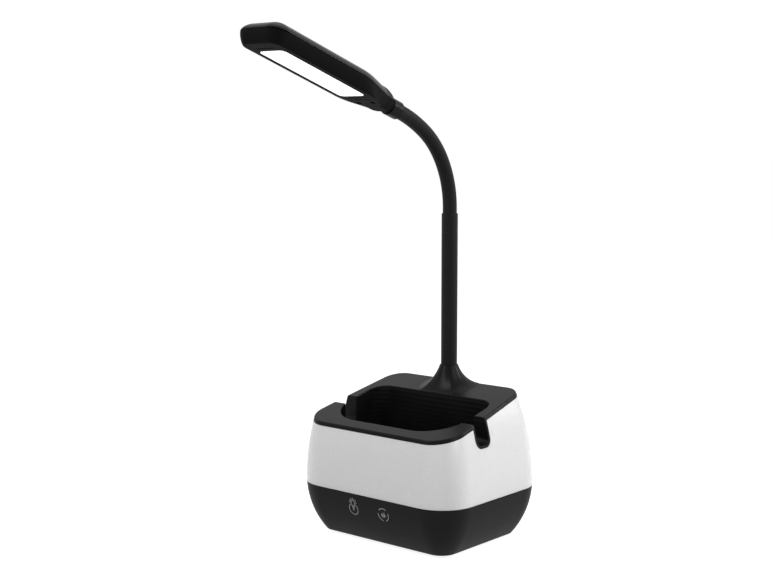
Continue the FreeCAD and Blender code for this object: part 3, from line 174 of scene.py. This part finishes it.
def mouldedPlastic(name, look):
    # spark-eroded mould grain: a fine pebble with a slow drift in tone and gloss
    material, shader, place = newMaterial(name, {"IOR": moulding["ior"],
                                                 **look.get("sockets", {})})
    grain = addNode(material, "ShaderNodeTexNoise", {
        "Vector": place, "Scale": perSize(look["grainSize"])}).outputs["Fac"]
    drift = addNode(material, "ShaderNodeTexNoise", {
        "Vector": place, "Scale": perSize(look["driftSize"]),
        "Detail": moulding["driftDetail"]}).outputs["Fac"]
    patch = addNode(material, "ShaderNodeMapRange", {"Value": drift, **textureSpan})
    mixTones(material, shader, patch.outputs["Result"], look)
    smooth, rough = look["roughness"]
    grainPart = addNode(material, "ShaderNodeMapRange", {
        "Value": grain, **textureSpan, "To Max": moulding["glossBreak"]})
    driftPart = addNode(material, "ShaderNodeMapRange", {
        "Value": drift, **textureSpan, "To Min": smooth, "To Max": rough})
    gloss = addNode(material, "ShaderNodeMath", {
        0: grainPart.outputs["Result"], 1: driftPart.outputs["Result"]}, operation="ADD")
    material.node_tree.links.new(gloss.outputs[0], shader.inputs["Roughness"])
    height = grain
    if "lines" in look:
        height = addNode(material, "ShaderNodeMath", {
            0: grain, 1: mouldLines(material, place, look["lines"])}, operation="ADD").outputs[0]
    grainBump(material, shader, height, look["grainDepth"], look.get("edge", 0.0))
    shader.distribution = "GGX"
    return material


# mould grain is about 0.1 mm across, and is drawn coarser in these looks so that it shows
# charcoal ABS: matte, with an even fine grain that catches a grey veil of light
charcoalLook = {
    "dark": "#161617", "light": "#19191A",
    "grainSize": 0.45, "grainDepth": 0.02, "driftSize": 34.0, "roughness": (0.46, 0.52),
    "edge": 0.5, "sockets": {"Specular IOR Level": 0.1},
}
# satin black ABS: darker and smoother, with soft streaks of light on curved parts
# its mould's cutter lines are drawn further apart than they are, so that they show
blackLook = {
    "dark": "#0E0E0F", "light": "#111112",
    "grainSize": 0.35, "grainDepth": 0.01, "driftSize": 28.0, "roughness": (0.28, 0.33),
    "edge": 0.7, "sockets": {"Specular IOR Level": 0.09},
    "lines": {"pitch": 1.8, "share": 6.0, "waver": 0.6, "detail": 1.0, "upright": 0.2},
}
# head shells: dull spark-eroded black, a little smoother on the cover than on the frame; the
# frame's darker tone is painted shade, standing in for the shade under the head
frameLook = {
    "dark": "#0A0A0B", "light": "#0D0D0E",
    "grainSize": 0.4, "grainDepth": 0.015, "driftSize": 24.0, "roughness": (0.6, 0.68),
    "edge": 0.2, "sockets": {"Specular IOR Level": 0.05},
}
coverLook = {
    "dark": "#0F0F10", "light": "#121213",
    "grainSize": 0.4, "grainDepth": 0.01, "driftSize": 24.0, "roughness": (0.3, 0.35),
    "edge": 0.3, "sockets": {"Specular IOR Level": 0.14},
}
# stem sleeve: the same black with a coarser leathery grain
stemLook = {
    "dark": "#131314", "light": "#161617",
    "grainSize": 0.6, "grainDepth": 0.03, "driftSize": 22.0, "roughness": (0.42, 0.5),
    "sockets": {"Specular IOR Level": 0.12},
}
# silicone skin of the neck: dead matte with a faint bloom
skinLook = {
    "dark": "#121213", "light": "#151516",
    "grainSize": 0.5, "grainDepth": 0.015, "driftSize": 15.0, "roughness": (0.5, 0.58),
    "sockets": {"Specular IOR Level": 0.12},
}
charcoalPlastic = mouldedPlastic("charcoalGrainedPlastic", charcoalLook)
blackPlastic = mouldedPlastic("satinBlackPlastic", blackLook)
framePlastic = mouldedPlastic("dullBlackPlastic", frameLook)
coverPlastic = mouldedPlastic("softGlossBlackPlastic", coverLook)
stemPlastic = mouldedPlastic("leatheredBlackPlastic", stemLook)
neckRubber = mouldedPlastic("matteSiliconeSkin", skinLook)

# opal acrylic: milky, light soaks in and comes out soft, with a smooth skin over it
opalLook = {
    "dark": "#E0E0E0", "light": "#E2E2E2",
    "grainSize": 0.8, "grainDepth": 0.002, "driftSize": 60.0, "roughness": (0.22, 0.26),
    "sockets": {
        "Subsurface Weight": 0.35,
        "Subsurface Radius": (0.006, 0.006, 0.0055),
        "Subsurface Scale": 1.0,
        "Coat Weight": 0.15,
        "Coat Roughness": 0.1,
    },
}
opalAcrylic = mouldedPlastic("opalAcrylic", opalLook)


def litLens(look):
    # frosted lens over lit sources: even white, barely broken up by its small prisms
    material, shader, place = newMaterial("litFrostedLens", {
        "Base Color": paint(look["body"]), "Roughness": look["roughness"],
        "Emission Color": paint(look["glow"]),
    })
    cells = addNode(material, "ShaderNodeTexVoronoi", {
        "Vector": place, "Scale": perSize(look["prismSize"])})
    middle, border = look["power"]
    power = addNode(material, "ShaderNodeMapRange", {
        "Value": cells.outputs["Distance"], **textureSpan,
        "To Min": middle, "To Max": border})
    material.node_tree.links.new(power.outputs["Result"], shader.inputs["Emission Strength"])
    grainBump(material, shader, cells.outputs["Distance"], look["prismDepth"])
    return material


lensLook = {
    "body": "#F4F4F2", "glow": "#FFFFFF", "roughness": 0.4,
    "prismSize": 1.2, "prismDepth": 0.02,
    "power": (0.96, 1.02),      # at the middle and at the border of a prism
}
litLensPlastic = litLens(lensLook)


crystal = {"detail": 4.0, "roughness": 0.6}      # how finely the clouds break up


def platedSteel(name, look):
    # bare or plated metal with a cloudy crystal look
    material, shader, place = newMaterial(name, {"Metallic": 1.0})
    cloud = addNode(material, "ShaderNodeTexNoise", {
        "Vector": place, "Scale": perSize(look["cloudSize"]),
        "Detail": crystal["detail"], "Roughness": crystal["roughness"]}).outputs["Fac"]
    mixTones(material, shader, cloud, look)
    smooth, rough = look["roughness"]
    gloss = addNode(material, "ShaderNodeMapRange", {
        "Value": cloud, **textureSpan, "To Min": smooth, "To Max": rough})
    material.node_tree.links.new(gloss.outputs["Result"], shader.inputs["Roughness"])
    grainBump(material, shader, cloud, look["depth"])
    return material


# zinc-plated steel: bright, with a pale bloom
screwLook = {"dark": "#8A8B8D", "light": "#B4B5B7", "cloudSize": 0.8, "roughness": (0.25, 0.4),
             "depth": 0.01}
# sand-cast iron: dark, rough and dull
ironLook = {"dark": "#3A3A3C", "light": "#56575A", "cloudSize": 2.0, "roughness": (0.5, 0.7),
            "depth": 0.15}
# drawn steel: mid grey with a satin shine
coreLook = {"dark": "#6E7072", "light": "#9A9C9F", "cloudSize": 0.5, "roughness": (0.3, 0.45),
            "depth": 0.02}
screwSteel = platedSteel("zincPlatedSteel", screwLook)
castIron = platedSteel("rawCastIron", ironLook)
coreSteel = platedSteel("drawnSteel", coreLook)


def solderMask(look):
    # glass-epoxy board: a smooth mask with the glass weave just showing through it
    material, shader, place = newMaterial("solderMaskedBoard", {"Roughness": look["roughness"]})
    weave = addNode(material, "ShaderNodeTexBrick", {
        "Vector": place, "Scale": perSize(look["weave"]),
        "Color1": paint(look["light"]), "Color2": paint(look["dark"]),
        "Mortar": paint(look["thread"]), "Mortar Size": look["gap"],
    })
    material.node_tree.links.new(weave.outputs["Color"], shader.inputs["Base Color"])
    grainBump(material, shader, weave.outputs["Fac"], look["depth"])
    return material


boardLook = {"light": "#DDE2DD", "dark": "#D5DBD6", "thread": "#C9D0CA", "roughness": 0.35,
             "weave": 1.0, "gap": 0.04, "depth": 0.01}
boardMask = solderMask(boardLook)

# black rubber: dusty, soft, slightly uneven
rubberLook = {
    "dark": "#161616", "light": "#1E1E1E",
    "grainSize": 0.6, "grainDepth": 0.05, "driftSize": 6.0, "roughness": (0.65, 0.8),
}
footRubber = mouldedPlastic("softBlackRubber", rubberLook)
# white reflector plastic: even and bright, with a soft shine
whiteLook = {
    "dark": "#E4E4E2", "light": "#EEEEEC",
    "grainSize": 0.4, "grainDepth": 0.01, "driftSize": 12.0, "roughness": (0.4, 0.5),
}
whiteReflector = mouldedPlastic("whiteReflectorPlastic", whiteLook)
# clear resin over yellow phosphor: glossy and pale
ledLook = {
    "dark": "#F2E9B8", "light": "#F8F2D0",
    "grainSize": 0.3, "grainDepth": 0.004, "driftSize": 2.0, "roughness": (0.12, 0.2),
}
ledResin = mouldedPlastic("yellowedLedResin", ledLook)

finishes = {
    "rubber_feet": footRubber, "bottom_cover": charcoalPlastic, "cover_screws": screwSteel,
    "ballast_plate": castIron, "ballast_screws": screwSteel, "lower_housing": charcoalPlastic,
    "control_board": boardMask, "board_screws": screwSteel, "power_inlet": blackPlastic,
    "touch_board": boardMask, "touch_springs": coreSteel, "mood_light_board": boardMask,
    "mood_leds": ledResin, "diffuser_ring": opalAcrylic, "top_tray": blackPlastic,
    "tray_screws": screwSteel, "stem_tube": coreSteel, "stem_cover": stemPlastic,
    "stem_washer": screwSteel, "stem_nut": screwSteel, "neck_collar": blackPlastic,
    "head_frame": framePlastic, "head_cover": coverPlastic, "head_diffuser": litLensPlastic,
    "light_box": whiteReflector, "head_led_board": boardMask, "head_leds": ledResin,
    "head_screws": screwSteel,
}


def dressNodes():
    for name, piece in nodes.items():
        finish = coreSteel if name.startswith("neck_link") else finishes.get(name)
        if finish:
            for slot in piece.material_slots:
                slot.material = finish


dressNodes()
print("materials on the nodes")


# flexible skin and lead of the neck, parted into a length for each body

neckPath = {
    "footY": 0.0364, "footZ": 0.2413,   # where the stem ends
    "rise": 0.0037,
    "lowRadius": 0.0698, "lowTurn": 56.7,
    "highRadius": 0.122, "highTurn": 14.6,
    "firstJoint": 0.004, "jointPitch": 0.00886, "joints": 12,      # along the neck
}


def neckPoint(along):
    # place and tilt from upright, at a distance from the end of the stem
    y, z = neckPath["footY"], neckPath["footZ"]
    if along <= neckPath["rise"]:
        return Vector((0, y, z + along)), 0.0
    z += neckPath["rise"]
    along -= neckPath["rise"]
    tilt = 0.0
    for radius, turn in ((neckPath["lowRadius"], neckPath["lowTurn"]),
                         (neckPath["highRadius"], neckPath["highTurn"])):
        most = math.radians(turn)
        part = min(along / radius, most)
        y -= radius * (math.cos(tilt) - math.cos(tilt + part))
        z += radius * (math.sin(tilt + part) - math.sin(tilt))
        tilt += part
        along -= radius * part
        if part < most:
            return Vector((0, y, z)), tilt
    return Vector((0, y - along * math.sin(tilt), z + along * math.cos(tilt))), tilt


def neckTube(name, start, end, tube, centre):
    # closed tube along the neck: outer wall up, rim, inner wall down, rim
    # with a centre, the walls are rounded like a ball about that place on the neck
    shape = bmesh.new()
    rounds = tube["rounds"]
    count = max(2, round((end - start) / tube["step"]))
    stations = [start + (end - start) * i / count for i in range(count + 1)]
    walls = [(along, tube["outer"]) for along in stations]
    walls += [(along, tube["inner"]) for along in reversed(stations)]
    if centre is not None:
        walls = [(along, math.sqrt(radius ** 2 - (along - centre) ** 2))
                 for along, radius in walls]
    rings = []
    for along, radius in walls:
        middle, tilt = neckPoint(along)
        across = Vector((0, math.cos(tilt), math.sin(tilt)))
        ring = []
        for i in range(rounds):
            angle = 2 * math.pi * i / rounds
            ring.append(shape.verts.new(middle + radius * (
                Vector((math.cos(angle), 0, 0)) + across * math.sin(angle))))
        rings.append(ring)
    for low, high in zip(rings, rings[1:] + rings[:1]):
        for i in range(rounds):
            face = shape.faces.new((low[i - 1], low[i], high[i], high[i - 1]))
            face.smooth = True
    for ring in (rings[0], rings[count], rings[count + 1], rings[-1]):
        for i in range(rounds):
            shape.edges.get((ring[i - 1], ring[i])).smooth = False
    return meshPiece(name, shape)


neckSkin = {"outer": 0.0054, "inner": 0.0047, "rounds": 40, "step": 0.0007,
            "start": 0.0, "end": 0.1068}
# the lead is parted this far above each joint, where it has the most room to turn
lampLead = {"outer": 0.0012, "inner": 0.0006, "rounds": 12, "step": 0.0015,
            "rise": 0.0034, "space": 0.0004}
# the band lies between core and skin, and covers this much on either side of its joint
neckBand = {"outer": 0.004675, "inner": 0.00463, "rounds": 40, "step": 0.0003,
            "half": 0.00075}


def bodyAt(index):
    # body below joint number index, counted from the stem
    last = neckPath["joints"]
    if index == 0:
        return "base"
    return "head" if index == last else "link_%02d" % index


def neckPiece(name, start, end, tube, dress, body, centre=None):
    material, slot, node = dress
    piece = neckTube(name, start, end, tube, centre)
    piece.data.materials.append(material)
    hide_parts(node)
    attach(piece, body)


def makeNeck():
    # skin and lead are split at every joint, and a rounded band inside the skin closes the split
    joints = [neckPath["firstJoint"] + neckPath["jointPitch"] * index
              for index in range(neckPath["joints"])]
    skinDress = (neckRubber, "sleeve_rubber", "neck_sleeve")
    leadDress = (footRubber, "lead_jacket", "lamp_lead")
    skinEnds = [neckSkin["start"], *joints, neckSkin["end"]]
    rise, half = lampLead["rise"], lampLead["space"] / 2
    for index in range(len(joints) + 1):
        body, number = bodyAt(index), index + 1
        neckPiece("neckSkin_%02d" % number, skinEnds[index], skinEnds[index + 1],
                  neckSkin, skinDress, body)
        leadStart = joints[index - 1] + rise + half if index else neckSkin["start"]
        leadEnd = joints[index] + rise - half if index < len(joints) else neckSkin["end"]
        neckPiece("neckLead_%02d" % number, leadStart, leadEnd, lampLead, leadDress, body)
        if index < len(joints):
            joint = joints[index]
            neckPiece("neckBand_%02d" % number, joint - neckBand["half"],
                      joint + neckBand["half"], neckBand, skinDress, body, centre=joint)


makeNeck()
print("neck skin and lead made")


# flared foot of the stem: a steep cone at the mouth that runs out into the sloping top

stemFoot = {
    "mouth": (0.00702, 0.12438),     # radius and height where the stem stands in it
    "lean": 20.0, "cone": 0.0118,    # the cone's angle from upright, and its height
    "hollow": 0.76,                  # share of the way out at which the curve levels off
    "reach": 0.0235,
    "top": (0.0999, 13.2),           # height over the middle, and slope
    "cupBack": 0.01985,              # back wall of the pen cup, where the skirt ends
    "back": (0.04687, 0.405),        # back wall's place at the top, and its lean by height
    "lift": 0.00004, "sink": 0.0005,
    "turns": 120, "steps": 28,
}


def topHeight(along):
    height, slope = stemFoot["top"]
    return height + along * math.tan(math.radians(slope))


def backWall(height):
    place, lean = stemFoot["back"]
    return place - lean * height


def footPoint(turn, share):
    # cubic curve from the mouth down to the top, in the upright plane at this turn
    across, along = math.sin(turn), -math.cos(turn)
    stemY = neckPath["footY"]
    radius, mouth = stemFoot["mouth"]
    reach = stemFoot["reach"]
    if along < 0:
        reach = min(reach, (stemY - stemFoot["cupBack"]) / -along)
    lean = math.tan(math.radians(stemFoot["lean"]))
    hollow = radius + stemFoot["hollow"] * (reach - radius)
    curve = [(radius, mouth), (radius + lean * stemFoot["cone"], mouth - stemFoot["cone"])]
    for knot in (hollow, reach):
        ground = min(stemY + along * knot, stemFoot["back"][0])
        curve.append((knot, topHeight(ground) + stemFoot["lift"]))
    weights = ((1 - share) ** 3, 3 * share * (1 - share) ** 2, 3 * share ** 2 * (1 - share),
               share ** 3)
    out, height = (sum(w * point[i] for w, point in zip(weights, curve)) for i in (0, 1))
    # behind the stem the skirt is cut off flush with the tray's back wall
    furthest = max(backWall(height - topHeight(stemFoot["back"][0])), stemY + along * radius)
    return Vector((across * out, min(stemY + along * out, furthest), height))


def makeFoot():
    shape = bmesh.new()
    turns, steps = stemFoot["turns"], stemFoot["steps"]
    rings = []
    for i in range(turns):
        turn = 2 * math.pi * i / turns
        ring = [footPoint(turn, k / steps) for k in range(steps + 1)]
        edge = ring[-1]
        ring.append(Vector((edge.x, edge.y, edge.z - stemFoot["sink"])))
        rings.append([shape.verts.new(point) for point in ring])
    for near, far in zip(rings, rings[1:] + rings[:1]):
        for k in range(steps + 1):
            face = shape.faces.new((near[k], near[k + 1], far[k + 1], far[k]))
            face.smooth = k < steps
    piece = meshPiece("stemFoot", shape)
    piece.data.materials.append(blackPlastic)
    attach(piece, "base")


makeFoot()
print("foot of the stem made")


# painted shadow line on the right corner of the head's nose, where the cover meets the frame: a
# flat black cord laid in the groove in place of its shade

partingShadow = {
    "radius": 0.00034, "roundness": 2,
    "above": 0.00006,       # height of the cut over the frame's rim
    "below": 0.00015,       # depth of the line under that rim
    "longer": 0.01,         # how much a stretch's length counts beside its place
}
# painted shade of the groove: flat black with no shine
grooveShadeLook = {
    "dark": "#030303", "light": "#060606",
    "grainSize": 0.4, "grainDepth": 0.01, "driftSize": 20.0, "roughness": (0.9, 0.96),
    "sockets": {"Specular IOR Level": 0.0},
}


def partingStretch():
    # the cut through the cover falls into many stretches, and one furthest right is taken
    cover = bpy.data.objects["head_cover"]
    turn = math.radians(90 - neckPath["lowTurn"] - neckPath["highTurn"])
    up = Vector((0, math.sin(turn), math.cos(turn)))
    shape = bmesh.new()
    shape.from_mesh(cover.data)
    shape.transform(cover.matrix_world)
    lower = bpy.data.objects["head_frame"]
    seam = max((lower.matrix_world @ vertex.co).dot(up) for vertex in lower.data.vertices)
    cut = bmesh.ops.bisect_plane(
        shape, geom=shape.verts[:] + shape.edges[:] + shape.faces[:],
        plane_co=up * (seam + partingShadow["above"]), plane_no=up)
    edges = [item for item in cut["geom_cut"] if isinstance(item, bmesh.types.BMEdge)]
    drop = up * (partingShadow["below"] + partingShadow["above"])
    stretches = []
    while edges:
        chain = list(edges.pop().verts)
        while edge := next((item for item in edges if chain[-1] in item.verts), None):
            chain.append(edge.other_vert(chain[-1]))
            edges.remove(edge)
        stretches.append([vertex.co - drop for vertex in chain])
    shape.free()
    return max(stretches, key=lambda points: (
        max(point.x for point in points) * len(points) ** partingShadow["longer"]))


# the cord is painted shade along the parting line, not a part of the head
def makePartingShadow():
    curve = bpy.data.curves.new("partingShadow", "CURVE")
    curve.dimensions = "3D"
    curve.bevel_depth = partingShadow["radius"]
    curve.bevel_resolution = partingShadow["roundness"]
    stretch = partingStretch()
    strip = curve.splines.new("POLY")
    strip.points.add(len(stretch) - 1)
    for knot, point in zip(strip.points, stretch):
        knot.co = (*point, 1)
    curve.materials.append(mouldedPlastic("grooveShadow", grooveShadeLook))
    piece = newPiece("partingShadow", curve)
    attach(piece, "head")


makePartingShadow()
print("parting line made")


# signs printed over the two touch fields, drawn on the curved front of the lower housing

signPrint = {"line": 0.00065, "lift": 0.00004}
# the wall is an arc in height, furthest out at its bulge
frontWall = {"halfDepth": 0.0605, "bulge": 0.043, "flankRadius": 0.063}


def wallPoint(across, up):
    drop = frontWall["bulge"] - up
    inset = frontWall["flankRadius"] - math.sqrt(frontWall["flankRadius"] ** 2 - drop ** 2)
    return Vector((across, -(frontWall["halfDepth"] - inset + signPrint["lift"]), up))


def arcPoints(x, z, radius, start, end, steps):
    points = []
    for i in range(steps + 1):
        angle = math.radians(start + (end - start) * i / steps)
        points.append((x + radius * math.cos(angle), z + radius * math.sin(angle)))
    return points


def printStroke(shape, points):
    # a flat ribbon that follows the wall, with square ends
    sides = []
    for i, point in enumerate(points):
        before, after = points[max(i - 1, 0)], points[min(i + 1, len(points) - 1)]
        run = Vector((after[0] - before[0], after[1] - before[1])).normalized()
        offset = Vector((-run.y, run.x)) * signPrint["line"] / 2
        sides.append([shape.verts.new(wallPoint(point[0] + side * offset.x,
                                                point[1] + side * offset.y))
                      for side in (1, -1)])
    for low, high in zip(sides, sides[1:]):
        shape.faces.new((low[0], low[1], high[1], high[0]))


def signPiece(name, strokes, material):
    shape = bmesh.new()
    for points in strokes:
        printStroke(shape, points)
    piece = meshPiece(name, shape)
    piece.data.materials.append(material)
    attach(piece, "base")


lampTouchSign = {
    "middle": (-0.0140, 0.0271),      # across and up
    "ring": 0.0042, "bulb": 0.0018, "bulbRise": 0.0051,
    "ringArc": (122, 418, 40), "bulbArc": (-40, 220, 20),      # start, end, number of steps
    "rays": range(0, 181, 30),
    # the rest are shares of the ring's or the bulb's radius
    "cap": ((0.76, 0.64), (0.55, 1.6)),      # side of the bulb's cap, out and down
    "threads": 4, "threadTop": 0.5, "threadPitch": 0.22,
    "threadHalf": 0.7, "taper": 0.12,
    "ray": (1.4, 2.0),
}


def lampSign(sign):
    # a ring, with a shining bulb let into the gap at its top
    x, z = sign["middle"]
    ring, bulb = sign["ring"], sign["bulb"]
    top = z + sign["bulbRise"]
    strokes = [arcPoints(x, z, ring, *sign["ringArc"]), arcPoints(x, top, bulb, *sign["bulbArc"])]
    for side in (-1, 1):
        strokes.append([(x + side * bulb * out, top - bulb * down) for out, down in sign["cap"]])
    for row in range(sign["threads"]):
        height = z + ring * (sign["threadTop"] - sign["threadPitch"] * row)
        half = bulb * (sign["threadHalf"] - sign["taper"] * row)
        strokes.append([(x - half, height), (x + half, height)])
    for angle in sign["rays"]:
        across, up = math.cos(math.radians(angle)), math.sin(math.radians(angle))
        strokes.append([(x + across * bulb * out, top + up * bulb * out) for out in sign["ray"]])
    return strokes


moodTouchSign = {
    "middle": (0.0148, 0.0279),
    "arc": 0.0048, "arcStarts": (52, 172, 292), "arcSweep": 88, "arcSteps": 16,
    "cupArc": (170, 370, 16),
    # the rest are shares of the arc's radius
    "cup": 0.36,
    "flames": ((-0.2, 0.3), (0.0, 0.16), (0.2, 0.42)),      # across and up
    "flameFoot": 0.22,
}


def moodSign(sign):
    # three arcs of a ring round a small cup of light
    x, z = sign["middle"]
    arc = sign["arc"]
    strokes = [arcPoints(x, z, arc, start, start + sign["arcSweep"], sign["arcSteps"])
               for start in sign["arcStarts"]]
    strokes.append(arcPoints(x, z, arc * sign["cup"], *sign["cupArc"]))
    for across, up in sign["flames"]:
        strokes.append([(x + arc * across, z - arc * sign["flameFoot"]),
                        (x + arc * across, z + arc * up)])
    return strokes


def signInk(look):
    # light grey ink, thin enough that the grain under it breaks its tone
    material, shader, place = newMaterial("greySignInk", {"Roughness": look["roughness"]})
    worn = addNode(material, "ShaderNodeTexNoise", {
        "Vector": place, "Scale": perSize(look["grain"])}).outputs["Fac"]
    mixTones(material, shader, worn, look)
    grainBump(material, shader, worn, look["depth"])
    return material


inkLook = {"dark": "#7E7E7E", "light": "#9A9A9A", "roughness": 0.5, "grain": 0.4, "depth": 0.01}
signGrey = signInk(inkLook)
signPiece("lampTouchSign", lampSign(lampTouchSign), signGrey)
signPiece("moodTouchSign", moodSign(moodTouchSign), signGrey)
print("touch signs printed")


# studio: white paper floor, white surroundings and soft lamps

studio = {
    "floorSize": 30.0,
    "floorTone": "#A8A8A8",
    "floorRoughness": 0.9,
    "floorLift": 0.86,      # light that the seen floor has of its own, over what falls on it
    "white": (1.0, 1.0, 1.0, 1.0),
    "worldLight": 0.35,
    "worldSeen": 1.0,
    "lampAim": (0, 0, 0.12),
}
softLamps = [
    # name, place, size across and up, power in watts
    ("rightStrip", (1.35, 0.05, 0.95), (0.2, 1.3), 10.0),
    ("frontLeftBox", (-0.55, -1.15, 1.2), (0.4, 0.9), 13.5),
    ("backRightStrip", (1.0, 1.1, 0.85), (0.16, 0.9), 12.5),
    ("overheadBox", (-0.2, 0.5, 1.8), (1.2, 0.8), 4.0),
]


def addLamp(name, place, size, power):
    data = bpy.data.lights.new(name, "AREA")
    data.shape = "RECTANGLE"
    data.size, data.size_y = size
    data.energy = power
    lamp = newPiece(name, data)
    lamp.location = place
    ahead = Vector(studio["lampAim"]) - Vector(place)
    lamp.rotation_euler = ahead.to_track_quat("-Z", "Y").to_euler()


def seenDirectly(owner):
    # 1 where the eye, a mirror or a clear part looks straight at the surface
    light = addNode(owner, "ShaderNodeLightPath", {})
    mirrored = addNode(owner, "ShaderNodeMath", {
        0: light.outputs["Is Glossy Ray"], 1: light.outputs["Is Transmission Ray"],
    }, operation="MAXIMUM")
    return addNode(owner, "ShaderNodeMath", {
        0: light.outputs["Is Camera Ray"], 1: mirrored.outputs[0],
    }, operation="MAXIMUM").outputs[0]


def makeFloor():
    half = studio["floorSize"] / 2
    mesh = bpy.data.meshes.new("floor")
    mesh.from_pydata([(-half, -half, 0), (half, -half, 0), (half, half, 0), (-half, half, 0)],
                     [], [(0, 1, 2, 3)])
    floor = newPiece("floor", mesh)
    material, shader, place = newMaterial("whitePaperFloor", {
        "Base Color": paint(studio["floorTone"]), "Roughness": studio["floorRoughness"],
        "Specular IOR Level": 0.0, "Emission Color": studio["white"]})
    lift = addNode(material, "ShaderNodeMapRange", {
        "Value": seenDirectly(material), "To Max": studio["floorLift"]})
    material.node_tree.links.new(lift.outputs["Result"], shader.inputs["Emission Strength"])
    mesh.materials.append(material)


def lightWorld():
    world = bpy.data.worlds.new("studioWorld")
    bpy.context.scene.world = world
    world.use_nodes = True
    background = world.node_tree.nodes["Background"]
    background.inputs["Color"].default_value = studio["white"]
    strength = addNode(world, "ShaderNodeMapRange", {
        "Value": seenDirectly(world),
        "To Min": studio["worldLight"], "To Max": studio["worldSeen"]})
    world.node_tree.links.new(strength.outputs["Result"], background.inputs["Strength"])


makeFloor()
lightWorld()
for softLamp in softLamps:
    addLamp(*softLamp)
bpy.context.scene.view_settings.view_transform = "Standard"
print("studio lit")
